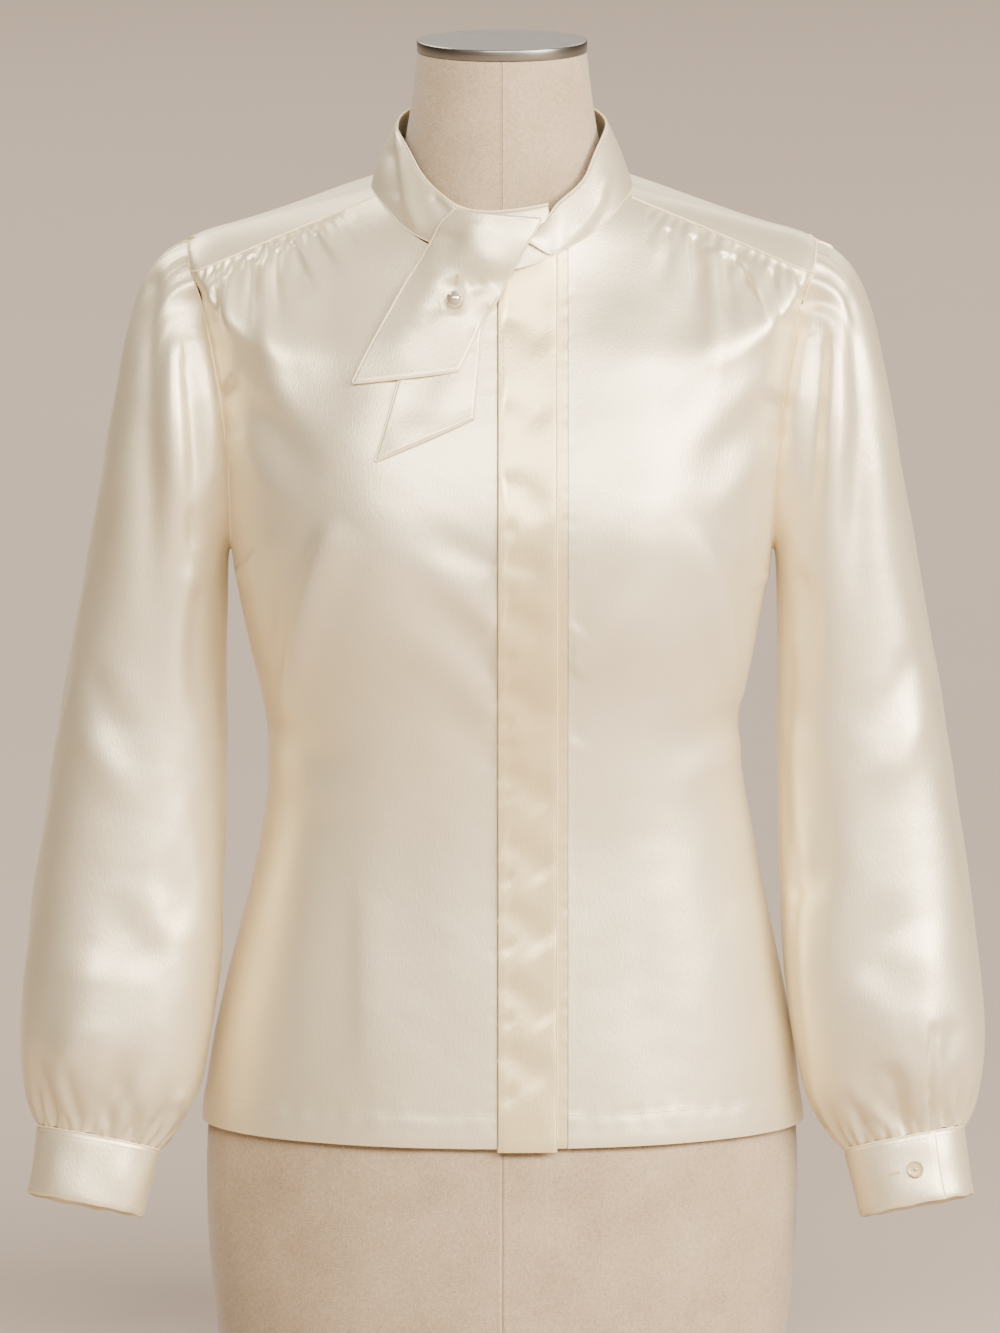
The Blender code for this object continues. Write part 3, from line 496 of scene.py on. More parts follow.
@dataclass(frozen=True)
class Fold:
    """A soft ridge, or a trough where its height is negative, along a line seen from the front."""

    line: Line
    width: Pair
    height: float
    skew: float = 0.0
    ends: Pair = (0.25, 0.35)

    def on(self, x: Array, z: Array) -> Array:
        """How high the fold stands at each place.

        Args:
            x: across, in millimetres.
            z: up, in millimetres.

        Returns:
            Heights, in millimetres.
        """
        knots = np.arange(len(self.line), dtype=float)
        shares = np.linspace(0, len(self.line) - 1, 6 * (len(self.line) - 1) + 1)
        path = spline(knots, np.array(self.line, float), shares)
        nearest = np.full(x.shape, 1e9)
        along = np.zeros(x.shape)
        offset = np.zeros(x.shape)
        for i in range(len(path) - 1):
            start, step = path[i], path[i + 1] - path[i]
            length = max(float(np.hypot(*step)), 1e-6)
            share = ((x - start[0]) * step[0] + (z - start[1]) * step[1]) / length**2
            inside = np.clip(share, 0, 1)
            away_x = x - start[0] - inside * step[0]
            away_z = z - start[1] - inside * step[1]
            away = np.hypot(away_x, away_z)
            closer = away < nearest
            nearest = np.where(closer, away, nearest)
            along = np.where(closer, (i + inside) / (len(path) - 1), along)
            offset = np.where(closer, (step[0] * away_z - step[1] * away_x) / length, offset)
        spread = self.width[0] + (self.width[1] - self.width[0]) * along
        spread = spread * (1 + self.skew * np.tanh(2 * offset / spread))
        taper = smooth(along / max(self.ends[0], 1e-3)) * smooth((1 - along) / max(self.ends[1], 1e-3))
        return self.height * np.exp(-((nearest / spread) ** 2)) * taper


def total(folds: Sequence[Fold], x: Array, z: Array) -> Array:
    """The folds' heights together."""
    height = np.zeros(x.shape)
    for fold in folds:
        height = height + fold.on(x, z)
    return height


FOLD_COLUMNS = ("line", "width", "height", "ends", "skew")


def folds_from(table: Sequence[Tuple], gain: float = 1.0) -> List[Fold]:
    """Folds from rows of line, widths, height, ends and, where it has one, skew, their heights times gain."""
    rows = [dict(zip(FOLD_COLUMNS, row)) for row in table]
    return [Fold(**{**row, "height": row["height"] * gain}) for row in rows]


# Soft folds of the front, on the viewer's left (wearer's right).
RIGHT_FRONT_FOLDS = (
    (((-98, 566), (-117, 533), (-131, 474), (-146, 392)), (13, 7), 3, (0.3, 0.3), 0.3),
    (((-150, 545), (-149, 505), (-152, 455)), (8, 6), -2, (0.3, 0.4)),
    (((-171, 517), (-154, 546)), (1.3, 1.3), -0.9, (0.05, 0.4)),
    (((-168, 509), (-152, 534), (-138, 560)), (6, 9), 1.1, (0.1, 0.5)),
    (((-178, 642), (-150, 622), (-112, 580)), (11, 15), -2.4, (0.1, 0.4)),
    (((-176, 610), (-150, 585), (-120, 556)), (10, 14), 1.3, (0.15, 0.5)),
    (((-161, 722), (-159, 702), (-162, 668)), (2.2, 7), -1.7, (0.04, 0.5), 0.2),
    (((-143, 727), (-144, 704), (-139, 680)), (1.6, 3), -1.5, (0.04, 0.5), 0.6),
    (((-134, 732), (-128, 716), (-121, 698)), (2, 7), -1.6, (0.04, 0.5), -0.3),
    (((-152, 722), (-151, 685), (-143, 645), (-132, 610)), (4, 13), 1.8, (0.06, 0.5)),
    (((-176, 712), (-175, 690), (-172, 655)), (3, 8), 1.2, (0.1, 0.5)),
    (((-184, 706), (-181, 680), (-176, 655)), (2, 5), -1, (0.1, 0.5)),
    (((-119, 737), (-112, 722), (-100, 700)), (2, 8), -1.1, (0.05, 0.6)),
    (((-62, 556), (-30, 546), (-4, 536)), (14, 8), -1, (0.5, 0.05)),
    (((-82, 556), (-44, 534), (-19, 512), (-3, 495)), (16, 9), 1.1, (0.5, 0.05)),
    (((-80, 528), (-44, 506), (-20, 486), (-3, 462)), (17, 10), -1.3, (0.5, 0.05)),
    (((-74, 500), (-34, 468), (-4, 436)), (17, 10), 0.8, (0.5, 0.05)),
    (((-58, 448), (-26, 426), (-3, 404)), (15, 9), -0.7, (0.5, 0.05)),
    (((-89, 345), (-88, 270), (-86, 185)), (9, 12), 0.8, (0.4, 0.4), 0.3),
    (((-106, 345), (-105, 260), (-104, 190)), (16, 20), -0.6, (0.4, 0.4)),
    (((-140, 400), (-128, 320), (-128, 210)), (20, 24), 1, (0.4, 0.4)),
    (((-52, 430), (-58, 320), (-50, 200)), (22, 24), -1, (0.4, 0.4)),
    (((-152, 424), (-120, 408), (-80, 400)), (10, 16), -1.3, (0.1, 0.5)),
    (((-152, 398), (-125, 386), (-95, 376)), (9, 15), 0.9, (0.1, 0.5)),
    (((-60, 700), (-80, 640), (-98, 580)), (20, 28), 1.8, (0.4, 0.5)),
    (((-118, 710), (-110, 660), (-104, 600)), (14, 22), -1.2, (0.3, 0.5)),
)
# Soft folds of the front, on the viewer's right.
LEFT_FRONT_FOLDS = (
    (((102, 566), (133, 533), (141, 500), (146, 465), (150, 415)), (13, 7), 3, (0.3, 0.3), -0.3),
    (((152, 545), (156, 505), (156, 460)), (8, 6), -2, (0.3, 0.4)),
    (((169, 517), (159, 547)), (1.3, 1.3), -0.9, (0.05, 0.4)),
    (((168, 508), (156, 534), (144, 562)), (6, 9), 1.1, (0.1, 0.5)),
    (((176, 636), (150, 612), (116, 585)), (11, 15), -1.9, (0.1, 0.4)),
    (((176, 606), (152, 582), (124, 556)), (10, 14), 1.2, (0.15, 0.5)),
    (((141, 724), (144, 702), (149, 675)), (2, 6), -1.7, (0.04, 0.5), 0.2),
    (((148, 723), (160, 700), (172, 672)), (1.6, 4), -1.5, (0.04, 0.5), -0.5),
    (((121, 735), (124, 715), (126, 690)), (2, 7), -1.4, (0.04, 0.5), 0.3),
    (((133, 728), (135, 695), (134, 655), (124, 618)), (4, 13), 1.8, (0.06, 0.5)),
    (((156, 722), (166, 690), (172, 655)), (3, 8), 1.2, (0.1, 0.5)),
    (((170, 716), (178, 690), (180, 660)), (2, 5), -1, (0.1, 0.5)),
    (((106, 740), (106, 722), (98, 700)), (2, 8), -1.1, (0.05, 0.6)),
    (((96, 550), (66, 522), (44, 496)), (17, 10), -1.4, (0.5, 0.05)),
    (((104, 524), (70, 494), (44, 466)), (17, 11), 0.9, (0.5, 0.05)),
    (((98, 480), (64, 448), (44, 420)), (17, 11), -0.9, (0.5, 0.05)),
    (((92, 350), (94, 270), (90, 185)), (18, 22), -0.7, (0.4, 0.4), 0.3),
    (((118, 370), (118, 270), (120, 190)), (20, 24), 0.8, (0.4, 0.4)),
    (((62, 420), (62, 320), (66, 200)), (22, 24), -0.8, (0.4, 0.4)),
    (((158, 430), (128, 418), (88, 412)), (10, 16), -1.2, (0.1, 0.5)),
    (((156, 404), (128, 396), (100, 388)), (9, 15), 0.9, (0.1, 0.5)),
    (((60, 705), (82, 645), (100, 580)), (20, 30), 1.7, (0.4, 0.5)),
    (((118, 705), (110, 655), (104, 600)), (14, 22), -1.1, (0.3, 0.5)),
)
# Small gathers under the yoke: where each meets the seam, its length, how it leans, and its strength.
RIGHT_GATHERS = (
    (-190, 14, 0.4, 0.8), (-184, 22, 0.5, 1), (-179, 12, 0.4, 0.7), (-173, 24, 0.4, 1.1),
    (-168, 10, 0.2, 0.8), (-165, 14, 0.1, 0.8), (-155, 10, 0, 0.9), (-152, 16, 0.2, 0.7),
    (-146, 9, -0.1, 0.9), (-140, 14, -0.1, 0.9), (-137, 8, 0, 0.8), (-129, 10, -0.2, 0.9),
    (-124, 16, -0.4, 0.8), (-115, 12, -0.5, 0.7), (-109, 16, -0.6, 0.7), (-103, 12, -0.7, 0.5),
)
LEFT_GATHERS = (
    (98, 12, 0.7, 0.5), (104, 16, 0.6, 0.7), (111, 12, 0.5, 0.8), (116, 14, 0.3, 0.8),
    (126, 12, 0.2, 0.9), (130, 9, 0.1, 0.8), (137, 14, 0.2, 0.9), (146, 10, 0.2, 0.8),
    (152, 16, 0.4, 0.9), (156, 9, 0.4, 0.7), (162, 18, 0.4, 1), (168, 12, 0.4, 0.8), (175, 22, 0.2, 1),
    (181, 12, 0, 0.8), (188, 16, -0.3, 0.8),
)
# Troughs of the placket, from its stitching down to its free edge.
PLACKET_RIPPLES = (
    (((1, 690), (16, 684), (32, 668)), (7, 12), -1, (0.05, 0.3)),
    (((1, 640), (14, 636), (30, 622)), (8, 12), -0.8, (0.05, 0.3)),
    (((1, 586), (14, 583), (30, 562)), (8, 13), -1.1, (0.05, 0.3)),
    (((1, 560), (12, 556)), (6, 8), -0.6, (0.05, 0.5)),
    (((1, 538), (18, 535), (30, 530)), (7, 10), -0.9, (0.05, 0.5)),
    (((1, 520), (8, 515)), (5, 7), -0.7, (0.05, 0.6)),
    (((1, 504), (14, 499), (30, 484)), (8, 13), -1.3, (0.05, 0.2)),
    (((1, 478), (8, 472)), (5, 7), -0.7, (0.05, 0.6)),
    (((1, 454), (14, 446), (29, 428)), (8, 13), -1.3, (0.05, 0.2)),
    (((1, 434), (7, 430)), (5, 7), -0.8, (0.05, 0.6)),
    (((1, 420), (9, 410)), (6, 8), -0.7, (0.05, 0.6)),
    (((1, 400), (14, 391), (31, 376)), (8, 13), -1.3, (0.05, 0.2)),
    (((1, 385), (7, 380)), (5, 7), -0.7, (0.05, 0.6)),
    (((1, 354), (14, 347), (30, 330)), (8, 13), -1.2, (0.05, 0.2)),
    (((1, 333), (8, 328)), (5, 7), -0.7, (0.05, 0.6)),
    (((1, 312), (14, 303), (30, 286)), (8, 13), -1.2, (0.05, 0.2)),
    (((1, 290), (8, 284)), (5, 7), -0.7, (0.05, 0.6)),
    (((1, 266), (16, 254), (31, 238)), (8, 13), -1.1, (0.05, 0.2)),
    (((1, 243), (8, 237)), (5, 7), -0.7, (0.05, 0.6)),
    (((1, 222), (14, 212), (28, 198)), (8, 13), -1, (0.05, 0.3)),
    (((1, 196), (10, 189)), (6, 8), -0.7, (0.05, 0.6)),
)
# Folds of the back, a similar set seen from behind.
BACK_FOLDS = (
    (((-60, 655), (-70, 560), (-74, 470)), (14, 18), -1.6, (0.1, 0.4), 0.2),
    (((-92, 650), (-96, 570), (-104, 500)), (12, 18), 1.6, (0.1, 0.4)),
    (((58, 652), (66, 575), (76, 480)), (15, 18), -1.5, (0.1, 0.4), -0.2),
    (((88, 650), (98, 575), (100, 510)), (12, 18), 1.6, (0.1, 0.4)),
    (((-150, 640), (-126, 600), (-96, 570)), (9, 15), -2, (0.1, 0.5)),
    (((152, 636), (128, 604), (100, 580)), (9, 15), -1.8, (0.1, 0.5)),
    (((-148, 470), (-110, 440), (-60, 424)), (7, 12), -2, (0.1, 0.5)),
    (((-146, 440), (-100, 420), (-50, 402)), (7, 11), 1.7, (0.1, 0.5)),
    (((150, 460), (108, 436), (56, 416)), (7, 12), -2, (0.1, 0.5)),
    (((148, 432), (104, 412), (60, 400)), (7, 11), 1.6, (0.1, 0.5)),
    (((-30, 420), (0, 404), (34, 412)), (6, 8), -1.5, (0.4, 0.4)),
    (((-40, 392), (-4, 380), (30, 386)), (6, 8), 1.3, (0.4, 0.4)),
    (((-100, 370), (-104, 290), (-98, 200)), (12, 15), 1.5, (0.3, 0.3), 0.2),
    (((-66, 372), (-72, 280), (-64, 200)), (12, 15), -1.5, (0.3, 0.3)),
    (((-20, 360), (-26, 280), (-18, 190)), (13, 16), 1.4, (0.3, 0.3)),
    (((26, 370), (24, 290), (30, 200)), (12, 15), -1.4, (0.3, 0.3)),
    (((70, 366), (76, 280), (72, 196)), (13, 15), 1.5, (0.3, 0.3)),
    (((112, 370), (116, 290), (114, 205)), (12, 14), -1.3, (0.3, 0.3)),
)
# Gathers over the cuff: turn round the wrist, length up the sleeve, lean, width and depth.
CUFF_GATHERS = (
    (8, 18, 2, 3, 1.2), (20, 36, 10, 5, 2.4), (32, 16, 0, 2.5, 1.2), (42, 40, 4, 5, 2.6),
    (52, 14, 0, 2.2, 1.2), (60, 20, -4, 2.6, 1.3), (70, 13, 2, 2, 1), (80, 44, 12, 6, 2.2),
    (90, 15, 0, 2.4, 1.2), (100, 24, -8, 3, 1.6), (111, 12, 4, 2.2, 1.1), (124, 34, -14, 4.5, 2.4),
    (136, 16, -6, 2.6, 1.4), (150, 40, -10, 4, 2.2), (163, 22, 0, 3.2, 1.4), (176, 34, 6, 4.5, 2),
    (190, 16, 0, 3, 1.2), (203, 38, -6, 5, 2.4), (216, 15, 0, 2.6, 1.2), (226, 26, 6, 3.6, 1.7),
    (238, 42, 2, 5, 2.5), (250, 14, 0, 2.4, 1.2), (260, 24, -4, 3, 1.5), (272, 44, -8, 5.5, 2.5),
    (284, 16, 4, 2.6, 1.2), (296, 30, 6, 4, 1.8), (308, 14, 0, 2.6, 1.2), (320, 40, 4, 5, 2.4),
    (333, 18, -4, 3, 1.3), (347, 32, 0, 4.4, 2),
)
# Gathers of the sleeve's head: turn round the armhole, length, lean, width and depth.
HEAD_GATHERS = (
    (-50, 14, 0, 3.2, 0.9), (-38, 24, 4, 4, 1.3), (-27, 16, 0, 3, 1.1), (-17, 30, -4, 3.6, 1.5),
    (-8, 18, 2, 2.8, 1.2), (0, 26, 0, 3, 1.4), (8, 16, 0, 2.4, 1.2), (15, 32, 4, 3.2, 1.7),
    (23, 18, 2, 2.6, 1.3), (31, 36, 4, 3.8, 1.8), (41, 20, 0, 3.2, 1.2), (52, 26, -2, 4, 1.2),
    (64, 14, 0, 3.4, 0.8),
)


# ---------------- finishes


def hex_colour(code: str) -> Tuple[float, float, float, float]:
    """An sRGB hex colour as linear red, green, blue and alpha."""
    parts = [int(code[i : i + 2], 16) / 255 for i in (1, 3, 5)]
    linear = [c / 12.92 if c <= 0.04045 else ((c + 0.055) / 1.055) ** 2.4 for c in parts]
    return (linear[0], linear[1], linear[2], 1.0)


def first_output(source: object) -> bpy.types.NodeSocket:
    """A node's first output, or the socket itself."""
    return source.outputs[0] if isinstance(source, bpy.types.Node) else source


def add_node(tree: bpy.types.NodeTree, kind: str, settings: Dict = {}, links: Dict = {}) -> bpy.types.Node:
    """Add a node with its settings and links.

    Args:
        tree: the material's node tree.
        kind: the shader node's type.
        settings: values by attribute name, or by input name or number.
        links: output sockets, or nodes for their first outputs, by input name or number.

    Returns:
        The node.
    """
    node = tree.nodes.new("ShaderNode" + kind)
    for name, value in settings.items():
        if isinstance(name, str) and hasattr(node, name):
            setattr(node, name, value)
        else:
            node.inputs[name].default_value = value
    for name, source in links.items():
        tree.links.new(first_output(source), node.inputs[name])
    return node


@dataclass(frozen=True)
class Finish:
    """What every finish has: a name and a Principled shader to dress."""

    name: str

    def start(self) -> Tuple[Material, bpy.types.NodeTree, bpy.types.Node, bpy.types.NodeSocket]:
        """A new material, its tree, its shader and the object's own coordinates."""
        material = bpy.data.materials.new(self.name)
        material.use_nodes = True
        tree = material.node_tree
        place = add_node(tree, "TexCoord").outputs["Object"]
        return material, tree, tree.nodes["Principled BSDF"], place

    @staticmethod
    def settle(tree: bpy.types.NodeTree, shader: bpy.types.Node, links: Dict, **values: object) -> None:
        """Link some of the shader's inputs and set others.

        Args:
            tree: the material's node tree.
            shader: its shader.
            links: output sockets, or nodes for their first outputs, by input name.
            values: values by input name, written with underscores.
        """
        for name, source in links.items():
            tree.links.new(first_output(source), shader.inputs[name])
        for name, value in values.items():
            shader.inputs[name.replace("_", " ")].default_value = value


@dataclass(frozen=True)
class PolyesterSatin(Finish):
    """Woven polyester satin: long floats give a soft, broad gloss over an ivory ground."""

    colour: str = "#EBDDBD"
    shade: str = "#E2D2AC"
    roughness: float = 0.42
    metallic: float = 0.55
    # A satin has about 45 threads to the centimetre; they are drawn at 0.45 mm so that they just show.
    thread_mm: float = 0.45

    def material(self) -> Material:
        """The satin's material."""
        material, tree, shader, place = self.start()
        cloud = add_node(tree, "TexNoise", {"Scale": 9.0, "Detail": 3.0, "Roughness": 0.55},
                         {"Vector": place})
        low, high = hex_colour(self.colour), hex_colour(self.shade)
        tint = add_node(tree, "Mix", {"data_type": "RGBA", 6: low, 7: high}, {0: cloud})
        stretch = add_node(tree, "Mapping", {"Scale": (1.0, 1.0, 0.22)}, {"Vector": place})
        scale = 1 / (self.thread_mm * MM * 2.2)
        floats = add_node(tree, "TexNoise", {"Scale": scale, "Detail": 2.0}, {"Vector": stretch})
        soft = add_node(tree, "TexNoise", {"Scale": 160.0, "Detail": 2.0}, {"Vector": place})
        spread = {"To Min": self.roughness - 0.04, "To Max": self.roughness + 0.05}
        gloss = add_node(tree, "MapRange", spread, {"Value": floats})
        grain = add_node(tree, "Bump", {"Strength": 0.45, "Distance": 0.00035}, {"Height": floats})
        ripple = add_node(tree, "Bump", {"Strength": 0.05, "Distance": 0.0004},
                          {"Height": soft, "Normal": grain})
        links = {"Base Color": tint.outputs[2], "Roughness": gloss, "Normal": ripple}
        self.settle(tree, shader, links, IOR=1.7, Metallic=self.metallic, Specular_IOR_Level=0.55,
                    Sheen_Weight=0.18, Sheen_Roughness=0.35, Sheen_Tint=hex_colour("#FFF6E6"))
        return material


@dataclass(frozen=True)
class SpunThread(Finish):
    """Polyester sewing thread: matter and a little darker than the satin."""

    colour: str = "#CDB88E"

    def material(self) -> Material:
        """The thread's material."""
        material, tree, shader, place = self.start()
        twist = add_node(tree, "TexNoise", {"Scale": 2500.0, "Detail": 1.0}, {"Vector": place})
        bump = add_node(tree, "Bump", {"Strength": 0.3, "Distance": 0.0001}, {"Height": twist})
        low, high = hex_colour(self.colour), hex_colour("#B89F72")
        tint = add_node(tree, "Mix", {"data_type": "RGBA", 6: low, 7: high}, {0: twist})
        links = {"Base Color": tint.outputs[2], "Normal": bump}
        self.settle(tree, shader, links, Roughness=0.6)
        return material


@dataclass(frozen=True)
class LinenCover(Finish):
    """Plain-woven linen, pulled tight and matt, with slubs and fine crossing threads."""

    colour: str = "#BFA98B"
    shade: str = "#927C5E"
    # Linen of about 14 threads to the centimetre.
    thread_mm: float = 0.75

    def material(self) -> Material:
        """The linen's material."""
        material, tree, shader, place = self.start()
        scale = 1 / (self.thread_mm * MM)
        threads = []
        for squash in ((1.0, 1.0, 0.25), (0.25, 0.25, 1.0)):
            lay = add_node(tree, "Mapping", {"Scale": squash}, {"Vector": place})
            thread = {"Scale": scale, "Detail": 3.0, "Roughness": 0.6}
            threads.append(add_node(tree, "TexNoise", thread, {"Vector": lay}))
        weave = add_node(tree, "Math", {"operation": "MAXIMUM"}, {0: threads[0], 1: threads[1]})
        cloud = add_node(tree, "TexNoise", {"Scale": 30.0, "Detail": 4.0}, {"Vector": place})
        mixed = add_node(tree, "Math", {"operation": "MULTIPLY_ADD", 1: 0.35}, {0: cloud, 2: weave})
        spread = add_node(tree, "MapRange", {"From Min": 0.52, "From Max": 0.98}, {"Value": mixed})
        low, high = hex_colour(self.shade), hex_colour(self.colour)
        tint = add_node(tree, "Mix", {"data_type": "RGBA", 6: low, 7: high}, {0: spread})
        bump = add_node(tree, "Bump", {"Strength": 0.55, "Distance": 0.0005}, {"Height": weave})
        links = {"Base Color": tint.outputs[2], "Normal": bump}
        self.settle(tree, shader, links, Roughness=0.88, Sheen_Weight=0.25)
        return material


@dataclass(frozen=True)
class BrushedSteel(Finish):
    """Stainless steel, brushed round: fine rings soften its reflections."""

    colour: str = "#8E8982"

    def material(self) -> Material:
        """The steel's material."""
        material, tree, shader, place = self.start()
        lay = add_node(tree, "Mapping", {"Scale": (0.04, 0.04, 1.0)}, {"Vector": place})
        lines = add_node(tree, "TexNoise", {"Scale": 4000.0, "Detail": 2.0}, {"Vector": lay})
        gloss = add_node(tree, "MapRange", {"To Min": 0.26, "To Max": 0.40}, {"Value": lines})
        bump = add_node(tree, "Bump", {"Strength": 0.08, "Distance": 0.0001}, {"Height": lines})
        self.settle(tree, shader, {"Roughness": gloss, "Normal": bump},
                    Base_Color=hex_colour(self.colour), Metallic=1.0)
        return material


@dataclass(frozen=True)
class MouldedGloss(Finish):
    """A moulded, polished button or imitation pearl: a clear coat over a milky body."""

    colour: str = "#E9DDC6"
    shade: str = "#D8C6A8"
    metallic: float = 0.0
    roughness: float = 0.22
    coat: float = 0.6

    def material(self) -> Material:
        """The button's material."""
        material, tree, shader, place = self.start()
        swirl = add_node(tree, "TexNoise", {"Scale": 220.0, "Detail": 3.0, "Distortion": 1.5},
                         {"Vector": place})
        low, high = hex_colour(self.colour), hex_colour(self.shade)
        tint = add_node(tree, "Mix", {"data_type": "RGBA", 6: low, 7: high}, {0: swirl})
        self.settle(tree, shader, {"Base Color": tint.outputs[2]}, Roughness=self.roughness,
                    Metallic=self.metallic, Coat_Weight=self.coat, Coat_Roughness=0.08)
        return material


@dataclass(frozen=True)
class StudioPaper(Finish):
    """Matt seamless paper behind and under the form."""

    colour: str = "#A79789"

    def material(self) -> Material:
        """The paper's material."""
        material, tree, shader, place = self.start()
        cloud = add_node(tree, "TexNoise", {"Scale": 1.3, "Detail": 2.0}, {"Vector": place})
        low, high = hex_colour(self.colour), hex_colour("#A29284")
        tint = add_node(tree, "Mix", {"data_type": "RGBA", 6: low, 7: high}, {0: cloud})
        self.settle(tree, shader, {"Base Color": tint.outputs[2]}, Roughness=0.95)
        return material


class Slot(Enum):
    """The record's material slots."""

    SATIN = "satin"
    PEARL = "pearl"
    BUTTON = "button"
    FORM_COVER = "form_cover"
    CAP_METAL = "cap_metal"


# ---------------- meshes


def make_piece(name: str, points: Array, faces: List[List[int]], material: Material,
               sharp: float = 60.0) -> Piece:
    """A piece that rides on the part's body.

    Args:
        name: the piece's name.
        points: its points, in millimetres.
        faces: its faces.
        material: its finish.
        sharp: the angle past which an edge shows, in degrees.

    Returns:
        The new object.
    """
    mesh = bpy.data.meshes.new(name)
    flat = np.asarray(points, float).reshape(-1, 3) * MM
    mesh.from_pydata(flat.tolist(), [], faces)
    work = bmesh.new()
    work.from_mesh(mesh)
    if work.calc_volume(signed=True) < 0:
        bmesh.ops.reverse_faces(work, faces=work.faces)
    work.to_mesh(mesh)
    work.free()
    mesh.shade_smooth()
    mesh.set_sharp_from_angle(angle=math.radians(sharp))
    mesh.materials.append(material)
    piece = bpy.data.objects.new(name, mesh)
    bpy.context.scene.collection.objects.link(piece)
    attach(piece, "root")
    return piece


def shell_faces(rows: int, columns: int, closed: bool) -> List[List[int]]:
    """The faces of a shell between two grids of the same shape.

    Args:
        rows: how many rows each grid has.
        columns: how many columns.
        closed: whether the last column joins the first.

    Returns:
        Faces over the outer grid's points and then the inner grid's.
    """
    wide = columns if closed else columns - 1
    row, col = np.meshgrid(np.arange(rows - 1), np.arange(wide), indexing="ij")
    nxt = (col + 1) % columns
    corners = [row * columns + col, row * columns + nxt, (row + 1) * columns + nxt, (row + 1) * columns + col]
    outer = np.stack([c.ravel() for c in corners], axis=1)
    inner = outer[:, ::-1] + rows * columns
    faces = [outer, inner]
    under = rows * columns
    first = np.arange(wide)
    then = (first + 1) % columns
    last = (rows - 1) * columns
    faces.append(np.stack([under + first, under + then, then, first], axis=1))
    faces.append(np.stack([last + first, last + then, under + last + then, under + last + first], axis=1))
    if not closed:
        down = np.arange(rows - 1) * columns
        end = columns - 1
        faces.append(np.stack([down, down + columns, under + down + columns, under + down], axis=1))
        faces.append(np.stack([under + down + end, under + down + columns + end, down + columns + end,
                               down + end], axis=1))
    return np.concatenate(faces).tolist()


def edge_distance(grid: Array, closed: bool) -> Edges:
    """How far each point of a grid lies from each of its edges, along the cloth.

    Args:
        grid: rows of points.
        closed: whether the columns run round.

    Returns:
        Distances from the edges u0, u1 (first and last column), v0 and v1 (first and last row).
    """
    down = np.linalg.norm(np.diff(grid, axis=0), axis=-1)
    v0 = np.concatenate([np.zeros((1, grid.shape[1])), np.cumsum(down, axis=0)])
    away = {"v0": v0, "v1": v0[-1:] - v0}
    if not closed:
        across = np.linalg.norm(np.diff(grid, axis=1), axis=-1)
        u0 = np.concatenate([np.zeros((grid.shape[0], 1)), np.cumsum(across, axis=1)], axis=1)
        away.update({"u0": u0, "u1": u0[:, -1:] - u0})
    return away


def rounded_shell(grid: Array, normal: Array, thickness: float, away: Edges, soft: Sequence[str],
                  radius: float) -> Tuple[Array, Array]:
    """The outer and inner faces of a shell whose named edges are rounded.

    Args:
        grid: the outer face's points.
        normal: their normals.
        thickness: the shell's thickness.
        away: distances from the edges.
        soft: which edges are rounded.
        radius: how wide the rounding is.

    Returns:
        The two grids.
    """
    near = np.full(grid.shape[:2], 1e9)
    for edge in soft:
        near = np.minimum(near, away[edge])
    inside = np.clip(1 - near / radius, 0, 1)
    thin = thickness * 0.48 * (1 - np.sqrt(1 - inside**2))
    outer = grid - normal * thin[..., None]
    inner = grid - normal * (thickness - thin)[..., None]
    return outer, inner


def tube_faces(rings: int, sides: int) -> List[List[int]]:
    """The faces of a tube over its rings of points, with its two ends closed."""
    faces = [list(range(sides))[::-1], [(rings - 1) * sides + i for i in range(sides)]]
    for row in range(rings - 1):
        for i in range(sides):
            j = (i + 1) % sides
            faces.append([row * sides + i, row * sides + j, (row + 1) * sides + j, (row + 1) * sides + i])
    return faces


def stitch_line(path: Array, normal: Array, pitch: float = 2.7, length: float = 2.1, radius: float = 0.2
                ) -> Mesh:
    """Stitches along a path: small six-sided spindles that dip into the cloth at their ends.

    Args:
        path: points along the line.
        normal: the cloth's normals there.
        pitch: the distance from stitch to stitch.
        length: a stitch's length.
        radius: its thread's radius.

    Returns:
        Points and faces.
    """
    steps = np.linalg.norm(np.diff(path, axis=0), axis=1)
    run = running(steps)
    centres = np.arange(pitch / 2, run[-1], pitch)
    profile = ((-0.5, 0.25), (-0.28, 1.0), (0.28, 1.0), (0.5, 0.25))
    sides = 6
    points = []
    for share, thick in profile:
        at = centres + share * length
        spot = np.stack([np.interp(at, run, path[:, i]) for i in range(3)], axis=1)
        lift = np.stack([np.interp(at, run, normal[:, i]) for i in range(3)], axis=1)
        ahead = np.stack([np.interp(at + 0.2, run, path[:, i]) for i in range(3)], axis=1) - spot
        ahead[-1] = ahead[-2]
        side = unit(np.cross(lift, unit(ahead)))
        turn = np.linspace(0, 2 * math.pi, sides, endpoint=False)
        ring = (np.cos(turn)[None, :, None] * side[:, None] + np.sin(turn)[None, :, None] * lift[:, None])
        sink = 0.0 if thick > 0.5 else -0.6 * radius
        points.append(spot[:, None] + ring * radius * thick + lift[:, None] * sink)
    cloud = np.stack(points, axis=1)
    block = len(profile) * sides
    one = tube_faces(len(profile), sides)
    return cloud.reshape(-1, 3), [[k * block + i for i in face] for k in range(len(centres)) for face in one]


def join(parts: Sequence[Mesh]) -> Mesh:
    """Several meshes as one."""
    points, faces, base = [], [], 0
    for cloud, loops in parts:
        cloud = np.asarray(cloud).reshape(-1, 3)
        points.append(cloud)
        faces += [[base + i for i in loop] for loop in loops]
        base += len(cloud)
    return np.concatenate(points), faces


